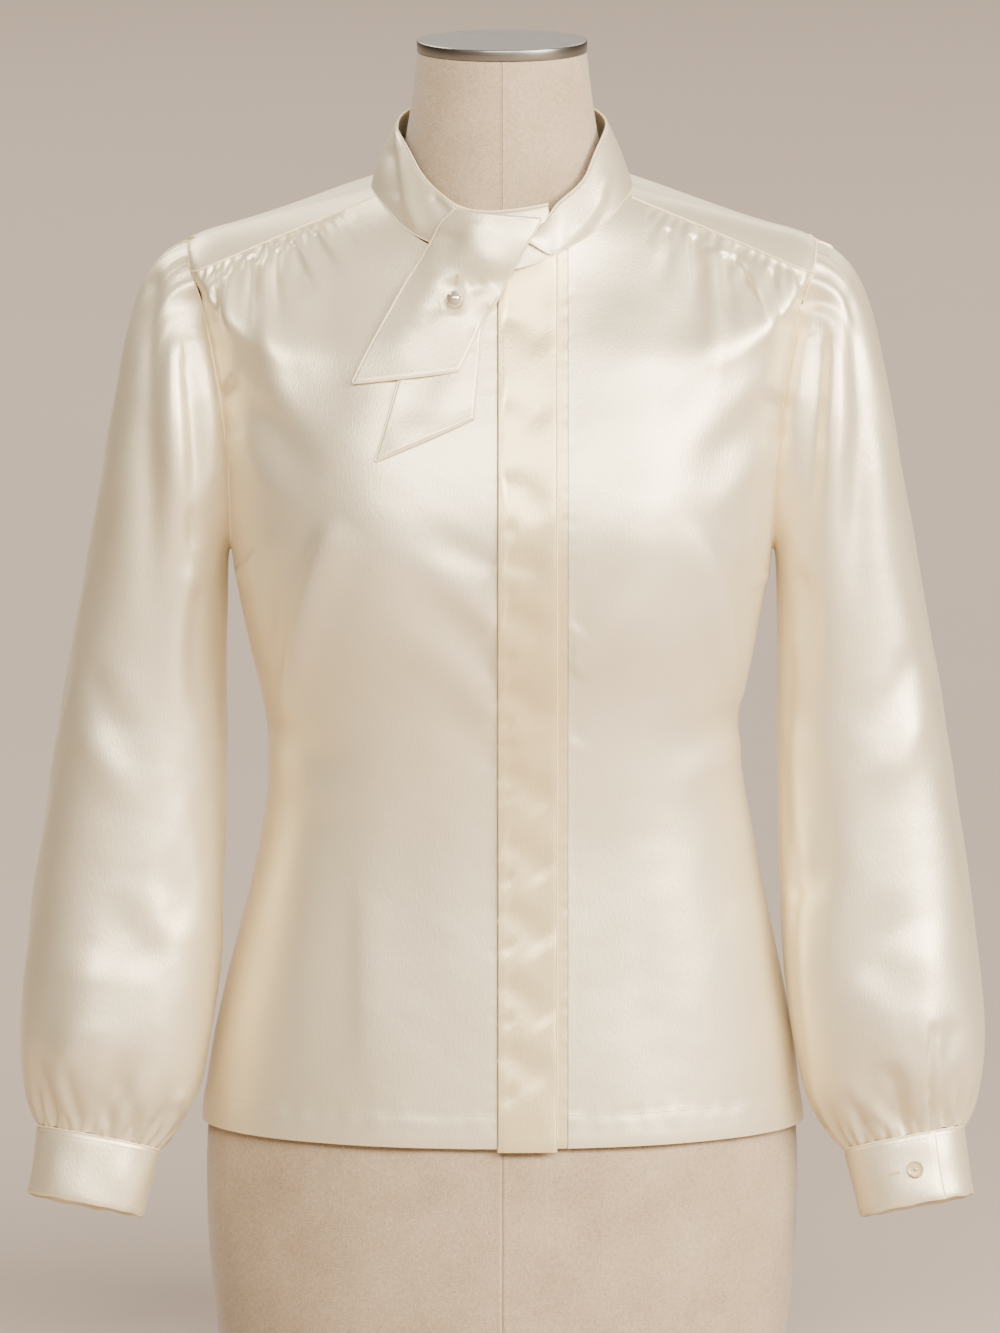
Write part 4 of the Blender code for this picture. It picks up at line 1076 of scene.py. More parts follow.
def lathe(profile: Sequence[Pair], centre: Array, axis: Array, sides: int) -> Mesh:
    """A turned shape, closed at both ends.

    Args:
        profile: radius and height pairs, from the bottom up.
        centre: where height 0 lies.
        axis: which way height runs.
        sides: how many sides it has.

    Returns:
        Points and faces.
    """
    axis = unit(np.asarray(axis, float))
    helper = np.array([0.0, 0.0, 1.0]) if abs(axis[2]) < 0.9 else np.array([1.0, 0.0, 0.0])
    first = unit(np.cross(helper, axis))
    second = np.cross(axis, first)
    turn = np.linspace(0, 2 * math.pi, sides, endpoint=False)
    ring = np.cos(turn)[:, None] * first + np.sin(turn)[:, None] * second
    points = np.concatenate([np.asarray(centre) + axis * h + ring * r for r, h in profile])
    return points, tube_faces(len(profile), sides)


# ---------------- pieces

WALL = 1.2
CUFF_WALL = 1.6
SEAM = 0.2
PLACKET_EDGES = (-3.0, 35.0)
PLACKET_LIFT, PLACKET_DROP = 1.7, 2.3
BAND_EDGES = (6.0, 42.0)
CUFF_LAP_ENDS = {"left": 62.0, "right": -68.0}
HOLE_OFFSET = -19.0


def made(finish: Finish) -> Material:
    """A field that holds the finish's material."""
    return field(default_factory=finish.material)


@dataclass
class Finishes:
    """Every material, built once."""

    satin: Material = made(PolyesterSatin("Ivory satin, woven polyester"))
    reverse: Material = made(PolyesterSatin("Ivory satin, seam edges", "#EEDCB4", "#E4CF9F", 0.42, 0.1))
    doubled: Material = made(PolyesterSatin("Ivory satin, doubled", "#EAD5A6", "#DFC68E", 0.4, 0.5))
    thread: Material = made(SpunThread("Sewing thread, spun polyester"))
    linen: Material = made(LinenCover("Form cover, woven linen"))
    steel: Material = made(BrushedSteel("Neck cap, brushed steel"))
    pearl: Material = made(MouldedGloss("Imitation pearl, lacquered", "#CFC1AB", "#AE9A80", 0.5, 0.12, 0.9))
    button: Material = made(MouldedGloss("Cuff button, moulded resin", "#CDB98F", "#B8A074", 0.0, 0.3, 0.5))


@dataclass(frozen=True)
class Cut:
    """How a piece is cut and hung: its flat size in metres and its share of that rectangle."""

    flat: Pair
    held: str
    share: float = 1.0


def seam_ease(away: Edges, edges: Sequence[str], reach: float) -> Array:
    """0 on the named edges, rising to 1 within reach of them."""
    ease = np.ones(next(iter(away.values())).shape)
    for edge in edges:
        ease = ease * smooth(away[edge] / reach)
    return ease


def cord_along(path: Array, radius: float, sides: int = 8) -> Mesh:
    """A thin round cord along a path, closed at its ends.

    Args:
        path: its centre line.
        radius: its radius.
        sides: how many sides it has.

    Returns:
        Points and faces.
    """
    ahead = unit(np.gradient(path, axis=0))
    first = unit(np.cross(ahead, np.array([0.31, 0.17, 0.94])))
    second = np.cross(ahead, first)
    turn = np.linspace(0, 2 * math.pi, sides, endpoint=False)
    points = path[:, None] + radius * (np.cos(turn)[None, :, None] * first[:, None]
                                       + np.sin(turn)[None, :, None] * second[:, None])
    return points.reshape(-1, 3), tube_faces(len(path), sides)


class Kind(Enum):
    """What a part of a sewn piece is made of, by its place in the piece's materials."""

    CLOTH = 0
    EDGE = 1
    THREAD = 2


Part = Tuple[Array, List[List[int]], Kind]


def cloth_part(outer: Array, inner: Array, closed: bool = False) -> Part:
    """Two faces of cloth as one mesh."""
    points = np.concatenate([outer.reshape(-1, 3), inner.reshape(-1, 3)])
    return points, shell_faces(*outer.shape[:2], closed), Kind.CLOTH


def sewn_piece(node: str, parts: Sequence[Part], finishes: "Finishes") -> Piece:
    """Cloth with its cords and stitches as one piece.

    Args:
        node: the CAD node it replaces.
        parts: its meshes, the cloth first.
        finishes: the materials.

    Returns:
        The new object.
    """
    points, faces = join([part[:2] for part in parts])
    piece = make_piece(f"{node}_cloth", points, faces, finishes.satin)
    piece.data.materials.append(finishes.reverse)
    piece.data.materials.append(finishes.thread)
    kinds = [part[2].value for part in parts for _ in part[1]]
    piece.data.polygons.foreach_set("material_index", kinds)
    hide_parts(node)
    return piece


def buttonhole(centre: Array, along: Array, normal: Array, length: float) -> Mesh:
    """A stitched buttonhole: close stitches across both lips and a bar at each end.

    Args:
        centre: its middle, on the cloth.
        along: which way it runs.
        normal: out of the cloth.
        length: how long it is.

    Returns:
        Points and faces.
    """
    along, normal = unit(along), unit(normal)
    across = np.cross(normal, along)
    parts = []
    for side in (-1, 1):
        for place in np.arange(-length / 2, length / 2 + 0.01, 0.42):
            start = centre + along * place + across * side * 0.12
            ends = np.linspace(0, 1, 4)[:, None] * across * side * 0.85
            parts.append(cord_along(start + ends + 0.05 * normal, 0.2, 6))
    for end in (-1, 1):
        for place in (0.0, 0.3):
            start = centre + along * end * (length / 2 + 0.2 + place) - across * 0.9
            ends = np.linspace(0, 1, 4)[:, None] * across * 1.8
            parts.append(cord_along(start + ends + 0.08 * normal, 0.2, 6))
    return join(parts)


@dataclass
class BodyCloth:
    """The fronts, placket, button band, back and yoke of the body."""

    finishes: Finishes
    form: Piece
    front_columns: int = 129
    strip_rows: int = 331
    right_folds: List[Fold] = field(default_factory=lambda: folds_from(RIGHT_FRONT_FOLDS, 1.5))
    left_folds: List[Fold] = field(default_factory=lambda: folds_from(LEFT_FRONT_FOLDS, 1.5))
    ripples: List[Fold] = field(default_factory=lambda: folds_from(PLACKET_RIPPLES))
    back_folds: List[Fold] = field(default_factory=lambda: folds_from(BACK_FOLDS, 1.4))
    pieces: Dict[str, Piece] = field(default_factory=dict)

    def panel(self, name: str, angle: Array, run: Array, relief: Callable[[Array, Edges], Array],
              soft: Sequence[str], out: float = 0.0, drop: float = 0.0, radius: float = 1.2) -> None:
        """A stretch of the body's surface as a thin shell with its own folds.

        Args:
            name: the CAD node it replaces.
            angle: its grid of angles.
            run: its grid of runs.
            relief: gives the folds' heights from points and edge distances.
            soft: the edges that are rounded.
            out: how far it lies off the body's surface.
            drop: how far its lowest row is let down.
            radius: how wide the rounded edges are.
        """
        surface = BODY.skin(angle, run)
        surface[0, :, 2] -= drop
        normal = BODY.normal(angle, run)
        away = edge_distance(surface, False)
        height = out + relief(surface, away)
        grid = surface + height[..., None] * normal
        self.trim(grid)
        bent = grid_normal(grid, False, normal)
        outer, inner = rounded_shell(grid, bent, WALL, away, soft, radius)
        parts = [cloth_part(outer, inner)] + self.trims(name, grid, bent, away)
        self.pieces[name] = sewn_piece(name, parts, self.finishes)
        if name in ("placket", "button_band"):
            self.pieces[name].data.materials[0] = self.finishes.doubled

    @staticmethod
    def trim(grid: Array) -> None:
        """Draw a panel's edges back from its seams."""
        grid[:, 0] += SEAM * unit(grid[:, 1] - grid[:, 0])
        grid[:, -1] += SEAM * unit(grid[:, -2] - grid[:, -1])
        grid[-1] += SEAM * unit(grid[-2] - grid[-1])

    def trims(self, name: str, grid: Array, normal: Array, away: Edges) -> List[Part]:
        """The cords and stitches of a panel.

        Args:
            name: the panel.
            grid: its outer face.
            normal: that face's normals.
            away: distances from its edges.

        Returns:
            Meshes.
        """
        found = []
        if name in ("front_right", "front_left", "back"):
            found.append((*self.stitches(grid, normal, away["v0"], 21.0), Kind.THREAD))
        if name == "placket":
            found.append((*self.stitches_up(grid, normal, away["u0"], 2.4), Kind.THREAD))
            found.append((*cord_along(grid[2:-2, -1] - 0.5 * normal[2:-2, -1], 0.62), Kind.EDGE))
        if name == "yoke":
            for edge in (0, -1):
                found.append((*cord_along(grid[1:-1, edge] + 0.1 * normal[1:-1, edge], 0.62), Kind.EDGE))
            found.append((*cord_along(grid[0] - 0.1 * normal[0], 0.6), Kind.EDGE))
        return found

    @staticmethod
    def stitches(grid: Array, normal: Array, away: Array, distance: float) -> Mesh:
        """Stitches across the columns.

        Args:
            grid: the cloth's points.
            normal: their normals.
            away: distances from the first row.
            distance: how far from it the stitches run.

        Returns:
            Points and faces.
        """
        path, lift = [], []
        for col in range(grid.shape[1]):
            row = np.interp(distance, away[:, col], np.arange(grid.shape[0]))
            low, share = int(row), row - int(row)
            path.append(grid[low, col] * (1 - share) + grid[low + 1, col] * share)
            lift.append(normal[low, col])
        return stitch_line(np.array(path) + 0.02 * np.array(lift), np.array(lift))

    @staticmethod
    def stitches_up(grid: Array, normal: Array, away: Array, distance: float) -> Mesh:
        """Stitches up the rows at a distance from one side."""
        col = int(np.argmin(np.abs(away[grid.shape[0] // 2] - distance)))
        return stitch_line(grid[:, col] + 0.02 * normal[:, col], normal[:, col])

    @staticmethod
    def hem_relief(away: Edges, x: Array) -> Array:
        """The doubled hem: a shallow step up to its stitching, with small tucks along it.

        Args:
            away: distances from the edges.
            x: across.

        Returns:
            Heights.
        """
        below = away["v0"]
        step = 0.45 * smooth((24.0 - below) / 5.0) - 0.5 * np.exp(-(((below - 21.0) / 1.3) ** 2))
        tucks = 0.30 * waves(x, 0 * x, 13.0, 5) * np.exp(-(((below - 18.0) / 7.0) ** 2))
        return step + tucks

    @staticmethod
    def gathers(table: Sequence[Tuple[float, float, float, float]], x: Array, below: Array) -> Array:
        """The gathers under the yoke.

        Args:
            table: rows of place, length, lean and strength.
            x: across.
            below: the distance down from the yoke's seam.

        Returns:
            Heights.
        """
        height = np.zeros(x.shape)
        for place, length, lean, strength in table:
            centre = place - lean * below
            width = 2.1 + 0.13 * below
            fade = smooth(1 - below / (2.1 * length)) * (0.45 + 0.55 * smooth(below / 3.0))
            height -= 2.0 * strength * np.exp(-(((x - centre) / width) ** 2)) * fade
            ridge = 0.9 * strength * smooth((below - 3.0) / 8.0) * fade
            height += ridge * np.exp(-(((x - centre - 1.6 * width) / (width * 1.1)) ** 2))
        return height

    def front_relief(self, side: int) -> Callable[[Array, Edges], Array]:
        """The folds of one front.

        Args:
            side: -1 for the wearer's right.

        Returns:
            The function that gives their heights.
        """
        folds = self.right_folds if side < 0 else self.left_folds
        table = RIGHT_GATHERS if side < 0 else LEFT_GATHERS

        def relief(point: Array, away: Edges) -> Array:
            """Heights from points and edge distances."""
            x, z = point[..., 0], point[..., 2]
            height = total(folds, x, z) + 0.45 * waves(x, z, 85.0, 11 + side)
            height = height + 0.07 * waves(x, z, 24.0, 21 + side)
            height = height * seam_ease(away, ("u1",), 5.0) * (0.35 + 0.65 * seam_ease(away, ("u0",), 6.0))
            low = (side * x > 92) & (z > 600)
            seam = BODY.skin(*PATTERN.yoke_seam())[::-1]
            below = np.maximum(np.interp(np.abs(x), seam[:, 0], seam[:, 2]) - z, 0.0)
            height = height + np.where(low, self.gathers(table, x, below), 0.0)
            pucker = waves(z, 0 * z, 9.5, 31 + side) * np.exp(-away["u0"] / 5.5)
            height = height - 0.30 * np.clip(pucker, 0, 1) * smooth(away["u0"] / 1.0)
            return height + self.hem_relief(away, x)

        return relief

    def placket_relief(self, point: Array, away: Edges) -> Array:
        """The placket's slanting troughs and its stitched edges.

        Args:
            point: the panel's points.
            away: distances from its edges.

        Returns:
            Heights.
        """
        x, z = point[..., 0], point[..., 2]
        height = 1.25 * total(self.ripples, x, z) + 0.25 * waves(x, z, 30.0, 41)
        height = height - 0.35 * np.exp(-(((away["u0"] - 2.4) / 0.9) ** 2))
        height = height - 0.22 * np.exp(-(((away["u1"] - 1.6) / 0.7) ** 2))
        edge = 0.5 * waves(z, 0 * z, 44.0, 42) * smooth(1 - away["u1"] / 12.0)
        return height + edge

    def band_relief(self, point: Array, away: Edges) -> Array:
        """The button band is nearly flat.

        Args:
            point: the panel's points.
            away: distances from its edges.

        Returns:
            Heights.
        """
        x, z = point[..., 0], point[..., 2]
        near = np.exp(-away["u1"] / 3.0)
        return 0.15 * waves(x, z, 40.0, 51) + 0.25 * near * waves(z, 0 * z, 11.0, 52) - 0.1

    def back_relief(self, point: Array, away: Edges) -> Array:
        """The folds of the back.

        Args:
            point: the panel's points.
            away: distances from its edges.

        Returns:
            Heights.
        """
        x, z = point[..., 0], point[..., 2]
        height = total(self.back_folds, x, z) + 0.5 * waves(x, z, 90.0, 61) + 0.07 * waves(x, z, 24.0, 62)
        height = height * seam_ease(away, ("u0", "u1"), 5.0)
        kept = [row for row in LEFT_GATHERS if 24 < row[0] < 170]
        table = [(s * p, length, s * lean, strength) for s in (-1, 1) for p, length, lean, strength in kept]
        return height + 0.8 * self.gathers(table, x, away["v1"]) + self.hem_relief(away, x)

    def yoke_relief(self, point: Array, away: Edges) -> Array:
        """The yoke lies smooth, with a slight swell above its seams.

        Args:
            point: the panel's points.
            away: distances from its edges.

        Returns:
            Heights.
        """
        x, y = point[..., 0], point[..., 1]
        swell = 0.5 * smooth(away["v0"] / 3.0) * np.exp(-away["v0"] / 9.0)
        return swell + 0.25 * waves(x, y, 60.0, 71) * seam_ease(away, ("u0", "u1", "v0", "v1"), 8.0)

    def build(self) -> None:
        """Make the body's panels."""
        edge_angle, edge_run = PATTERN.front_edge()
        count = len(edge_run)
        inner_run = BODY.top * (np.arange(count) / (count - 1)) ** 0.94
        share = np.linspace(0, 1, self.front_columns)
        for name, side, from_x in (("front_right", -1, PLACKET_EDGES[0]), ("front_left", 1, BAND_EDGES[1])):
            start = BODY.angle_at_x(from_x, inner_run)
            angle = start[:, None] * (1 - share) + side * edge_angle[:, None] * share
            run = inner_run[:, None] * (1 - share) + edge_run[:, None] * share
            self.panel(name, angle, run, self.front_relief(side), ("v0",))
        self.strip("placket", PLACKET_EDGES, 34, self.placket_relief, PLACKET_LIFT, PLACKET_DROP,
                   ("v0", "u0", "u1"))
        self.strip("button_band", BAND_EDGES, 22, self.band_relief, 0.0, 0.0, ("v0",))
        self.build_back(edge_count=75)
        self.build_yoke()

    def strip(self, name: str, edges: Pair, columns: int, relief: Callable, out: float,
              drop: float, soft: Sequence[str]) -> None:
        """A straight strip down the centre front.

        Args:
            name: the CAD node it replaces.
            edges: the x of its two sides.
            columns: how many columns of faces it has.
            relief: its folds.
            out: how far it lies off the body.
            drop: how far its foot is let down.
            soft: its rounded edges.
        """
        runs = BODY.top * np.linspace(0, 1, self.strip_rows) ** 0.94
        angle = np.stack([BODY.angle_at_x(x, runs) for x in np.linspace(*edges, columns + 1)], axis=1)
        run = np.repeat(runs[:, None], columns + 1, axis=1)
        self.panel(name, angle, run, relief, soft, out, drop, 0.9)

    def build_back(self, edge_count: int) -> None:
        """The back, in one piece from side seam to side seam.

        Args:
            edge_count: how many columns each half has.
        """
        edge_angle, edge_run = PATTERN.back_edge()
        _, seam_run = PATTERN.back_seam(edge_count)
        count = len(edge_run)
        rise = (np.arange(count) / (count - 1)) ** 0.9
        share = np.linspace(0, 1, edge_count)
        middle = seam_run[-1] * rise
        angle = edge_angle[:, None] * (1 - share) + math.pi * share
        run = edge_run[:, None] * (1 - share) + middle[:, None] * share
        straight = edge_run[-1] * (1 - share) + middle[-1] * share
        run = run + (seam_run - straight) * rise[:, None] ** 2
        angle = np.concatenate([angle, 2 * math.pi - angle[:, -2::-1]], axis=1)
        run = np.concatenate([run, run[:, -2::-1]], axis=1)
        self.panel("back", angle, run, self.back_relief, ("v0",))

    def build_yoke(self) -> None:
        """The yoke, over both shoulders and across the back."""
        corner, last = PATTERN.corner, len(PATTERN.runs) - 1
        over = np.arange(last - 1, PATTERN.back_corner - 1, -1)
        seam_angle, seam_run = PATTERN.back_seam(60)
        low_angle = np.concatenate([PATTERN.front[corner : last + 1], PATTERN.back[over], seam_angle[1:]])
        low_run = np.concatenate([PATTERN.runs[corner : last + 1], PATTERN.runs[over], seam_run[1:]])
        count = len(low_angle)
        neck = PATTERN.neck_angle + (math.pi - PATTERN.neck_angle) * (np.arange(count) / (count - 1)) ** 1.1
        share = np.linspace(0, 1, PATTERN.yoke_rows + 1)[::2, None]
        angle = low_angle * (1 - share) + neck * share
        run = low_run * (1 - share) + BODY.top * share
        front_seam, _ = PATTERN.yoke_seam()
        angle = angle + (front_seam[::2] - angle[:, 0])[:, None] * np.linspace(1, 0, count) ** 2
        angle = np.concatenate([angle, 2 * math.pi - angle[:, -2::-1]], axis=1)
        run = np.concatenate([run, run[:, -2::-1]], axis=1)
        self.panel("yoke", angle, run, self.yoke_relief, ())

    def dress(self) -> None:
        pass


def tube_rows(table: Table, rows: int, turn: Array, square: float = 0.0
              ) -> Tuple[Array, Array]:
    """The rings of a flattened tube, closely spaced; turn 0 is its outer side and 90 its front.

    Args:
        table: rings by name.
        rows: how many rings are wanted.
        turn: the angles round them, the same for all or a row for each.
        square: how much squarer the outer half is between the tube's ends.

    Returns:
        The grid of points, and how far each ring follows the armhole.
    """
    values = np.array(list(table.values()), float)
    middle = np.stack([values[:, 0] + values[:, 2], values[:, 1] + values[:, 3]], axis=1) / 2
    knots = running(np.linalg.norm(np.diff(middle, axis=0), axis=1))
    fine = spline(knots, values, np.linspace(0, knots[-1], rows))
    ring = {name: fine[:, i][:, None] for i, name in enumerate(TUBE_COLUMNS)}
    cosine, sine = np.cos(turn), np.sin(turn)
    fuller = square * smooth(np.linspace(0, 5, rows)) * smooth(np.linspace(8, 0, rows))
    cosine = cosine + np.where(cosine > 0, fuller[:, None] * cosine * sine ** 2, 0.0)
    tilt = np.radians(ring["tilt"])
    x = (ring["outer_x"] + ring["inner_x"]) / 2 + cosine * (ring["outer_x"] - ring["inner_x"]) / 2
    y = ring["y_mid"] - sine * ring["depth"] * np.cos(tilt)
    z = (ring["outer_z"] + ring["inner_z"]) / 2 + cosine * (ring["outer_z"] - ring["inner_z"]) / 2
    z = z + sine * ring["depth"] * np.sin(tilt)
    return np.stack(np.broadcast_arrays(x, y, z), axis=-1), np.clip(ring["follow"], 0, 1)[:, :, None]


def gather_relief(table: Sequence[Tuple], arc: Array, reach: float, away: Array) -> Array:
    """Gathers that start on a seam and run away from it.

    Args:
        table: rows of turn (degrees), length, lean, width and depth.
        arc: the turn at each point, in degrees.
        reach: millimetres of cloth to a degree of turn.
        away: the distance from the seam.

    Returns:
        Heights, troughs with a softer ridge beside each.
    """
    height = np.zeros(away.shape)
    for turn, length, lean, width, depth in table:
        offset = (np.mod(arc - turn + 180.0, 360.0) - 180.0) * reach - lean * away / length
        spread = width * (0.55 + 0.75 * np.clip(away / length, 0, 1.5))
        fade = smooth(1 - away / (1.6 * length)) * (0.4 + 0.6 * smooth(away / 5.0))
        height -= depth * np.exp(-((offset / spread) ** 2)) * fade
        height += 0.45 * depth * np.exp(-(((offset - 1.7 * spread) / (1.2 * spread)) ** 2)) * fade
    return height


@dataclass
class Sleeves:
    """Both sleeves and both cuffs."""

    finishes: Finishes
    yoke: Piece
    sleeve_rows: int = 165
    cuff_rows: int = 27
    cuff_columns: int = 190
    fuller: float = 0.22
    pieces: Dict[str, Piece] = field(default_factory=dict)

    def sleeve(self, name: str, side: int, folds: List[Fold], hidden: List[Fold], shift: float) -> None:
        """A full sleeve, gathered at its head and into its cuff.

        Args:
            name: the CAD node it replaces.
            side: -1 for the wearer's right.
            folds: its folds seen from the front, in x away from the body's middle.
            hidden: those of its back half.
            shift: turns the gathers round, in degrees, so that the sleeves differ.
        """
        loop_angle, loop_run = PATTERN.loop(1)
        seam = BODY.skin(side * loop_angle, loop_run) * np.array([side, 1.0, 1.0])
        first = dict(zip(TUBE_COLUMNS, SLEEVE_RINGS["seam"]))
        half = (first["outer_z"] - first["inner_z"]) / 2
        forward = -(seam[:, 1] - first["y_mid"]) / first["depth"]
        turn = np.unwrap(np.arctan2(forward, (seam[:, 2] - first["inner_z"] - half) / half))
        even = turn[0] + math.copysign(2 * math.pi, turn[1] - turn[0]) * np.arange(len(turn)) / len(turn)
        settled = smooth(np.arange(self.sleeve_rows) / 16.0)[:, None]
        turn = turn * (1 - settled) + even * settled
        grid, follow = tube_rows(SLEEVE_RINGS, self.sleeve_rows, turn, self.fuller)
        grid = grid + follow * (seam - grid[0])[None]
        grid[0, :, 0] += 2 * SEAM
        centre = grid.mean(axis=1, keepdims=True)
        normal = grid_normal(grid, True, grid - centre)
        away = edge_distance(grid, True)
        x, z = grid[..., 0], grid[..., 2]
        sine = np.sin(turn)
        height = total(folds, x, z) * smooth(sine * 2.2) + total(hidden, x, z) * smooth(-sine * 2.2)
        height = height + 0.55 * waves(x + 200 * sine, z, 80.0, 81 + side)
        height = height + 0.08 * waves(x + 90 * sine, z, 22.0, 91)
        height = height * smooth(away["v0"] / 8.0) * smooth(away["v1"] / 14.0)
        arc = np.degrees(turn)
        height = height + gather_relief(HEAD_GATHERS, arc + 0.3 * shift, 1.35, away["v0"])
        height = height + 1.6 * gather_relief(CUFF_GATHERS, arc - shift, 0.68, away["v1"])
        inside = smooth((-x + 176.5) / 3.0)
        height = height * (1 - inside) + np.minimum(height, 0.0) * inside
        grid = grid + height[..., None] * normal
        bent = grid_normal(grid, True, normal)
        outer, inner = rounded_shell(grid, bent, WALL, away, (), 1.0)
        inner[0, :, 0] = np.maximum(inner[0, :, 0], outer[0, :, 0] - 0.1)
        flip = np.array([side, 1.0, 1.0])
        ring = np.concatenate([grid[0], grid[0, :2]]) - np.array([0.25, 0.0, 0.0])
        inward = np.concatenate([normal[0], normal[0, :2]])
        head, loops = cord_along(ring - 0.35 * inward, 0.75)
        parts = [cloth_part(outer * flip, inner * flip, True), (head * flip, loops, Kind.EDGE)]
        self.pieces[name] = sewn_piece(name, parts, self.finishes)

    def cuff(self, name: str, side: int, lap_end: float) -> None:
        """A straight cuff that laps over its own start.

        Args:
            name: the CAD node it replaces.
            side: -1 for the wearer's right.
            lap_end: the turn at which its upper end stops, in degrees.
        """
        travel = np.linspace(0.0, 360.0 + CUFF_OVERLAP, self.cuff_columns)
        turn = np.radians(lap_end + CUFF_OVERLAP - travel)
        grid, _ = tube_rows(CUFF_RINGS, self.cuff_rows, turn)
        whole, _ = tube_rows(CUFF_RINGS, self.cuff_rows, np.linspace(0, 2 * math.pi, 25)[:-1])
        normal = unit(grid - whole.mean(axis=1)[:, None])
        lapped = smooth((travel - 280.0) / 70.0)
        away = edge_distance(grid, False)
        lift = (CUFF_WALL + 2 * SEAM) * lapped[None, :]
        arc = np.broadcast_to(travel[None], grid.shape[:2])
        lift = lift + 0.35 * waves(arc * 0.68, away["v0"], 26.0, 95 + side) * smooth(away["v0"] / 6.0)
        lift = lift - 0.25 * np.exp(-(((away["v0"] - 2.6) / 0.8) ** 2))
        lift = lift - 0.25 * np.exp(-(((away["v1"] - 2.6) / 0.8) ** 2))
        lift = lift - 0.25 * np.exp(-(((away["u1"] - 2.6) / 0.8) ** 2))
        grid = grid + lift[..., None] * normal
        grid[..., 2] += 0.5 * waves(arc * 0.68, 0 * arc, 30.0, 97) * smooth(away["v0"] / 44.0)
        bent = grid_normal(grid, False, normal)
        outer, inner = rounded_shell(grid, bent, CUFF_WALL, away, ("v0", "v1", "u0", "u1"), 1.0)
        flip = np.array([side, 1.0, 1.0])
        parts = [cloth_part(outer * flip, inner * flip)]
        top, loops = cord_along(grid[0, 2:-2] - 0.6 * bent[0, 2:-2], 0.7)
        parts.append((top * flip, loops, Kind.EDGE))
        for row in (2, grid.shape[0] - 3):
            line, loops = stitch_line(grid[row, 3:-3] + 0.03 * bent[row, 3:-3], bent[row, 3:-3])
            parts.append((line * flip, loops, Kind.THREAD))
        middle = grid.shape[0] // 2
        column = int(np.argmin(np.abs(travel - (360.0 + CUFF_OVERLAP / 2 + HOLE_OFFSET))))
        along = grid[middle, column + 1] - grid[middle, column - 1]
        hole, loops = buttonhole(grid[middle, column], along, bent[middle, column], 6.0)
        parts.append((hole * flip, loops, Kind.THREAD))
        self.pieces[name] = sewn_piece(name, parts, self.finishes)

    def build(self) -> None:
        """Make both sleeves and cuffs."""
        right = folds_from(RIGHT_SLEEVE_FOLDS, 1.5)
        left = folds_from(LEFT_SLEEVE_FOLDS, 1.5)
        self.sleeve("sleeve_right", -1, right, left, 0.0)
        self.sleeve("sleeve_left", 1, left, right, 7.0)
        self.cuff("cuff_right", -1, CUFF_LAP_ENDS["right"])
        self.cuff("cuff_left", 1, CUFF_LAP_ENDS["left"])

    def dress(self) -> None:
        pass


# Folds of the viewer's left sleeve, x measured away from the body's middle.
RIGHT_SLEEVE_FOLDS = (
    (((197, 690), (187, 655), (182, 622), (180, 585)), (5, 8), 1.9, (0.2, 0.4)),
    (((203, 680), (198.5, 637), (196, 595), (197, 560)), (4, 7), -2.2, (0.2, 0.4)),
    (((205, 685), (209, 652), (208.5, 616), (208, 570), (212, 520)), (5, 11), 2.4, (0.2, 0.4)),
    (((221, 712), (224, 690), (226, 650), (225, 590), (224, 520), (230, 470)), (5, 11), -2.3, (0.1, 0.4)),
    (((234, 690), (243, 640), (248, 580), (252, 500)), (7, 13), 1.6, (0.2, 0.5)),
    (((199, 566), (196.5, 530)), (3.5, 4.5), -1.2, (0.3, 0.4)),
    (((190, 520), (196, 470), (192, 410)), (6, 9), -1.5, (0.2, 0.4)),
    (((196, 530), (208, 480), (212, 420)), (7, 12), 1.4, (0.2, 0.5)),
    (((268, 470), (252, 432), (224, 405)), (9, 15), -1.5, (0.3, 0.5)),
    (((274, 430), (250, 392), (218, 370)), (10, 16), 1.5, (0.3, 0.5)),
    (((219, 345), (210, 312), (200, 284)), (15, 10), -1.2, (0.5, 0.4)),
    (((234, 330), (222, 300), (208, 262)), (18, 18), 1, (0.5, 0.5)),
    (((264, 285), (264, 250), (258, 200)), (14, 30), 2.6, (0.4, 0.3)),
    (((296, 214), (268, 206), (236, 198)), (22, 26), 3, (0.4, 0.4)),
    (((250, 320), (232, 285), (216, 262)), (16, 14), -1.6, (0.4, 0.4)),
    (((240, 222), (246, 185), (252, 158)), (11, 4), -2.4, (0.4, 0.05)),
    (((299, 215), (292, 185), (286, 162)), (6, 3), -1.6, (0.4, 0.05)),
    (((279, 212), (275, 188), (270, 162)), (5, 3), -1.5, (0.4, 0.05)),
    (((204, 182), (218, 168), (230, 151)), (5, 2.5), -1.8, (0.4, 0.05)),
    (((198, 190), (212, 174), (226, 152)), (4, 3), 1.4, (0.4, 0.05)),
)
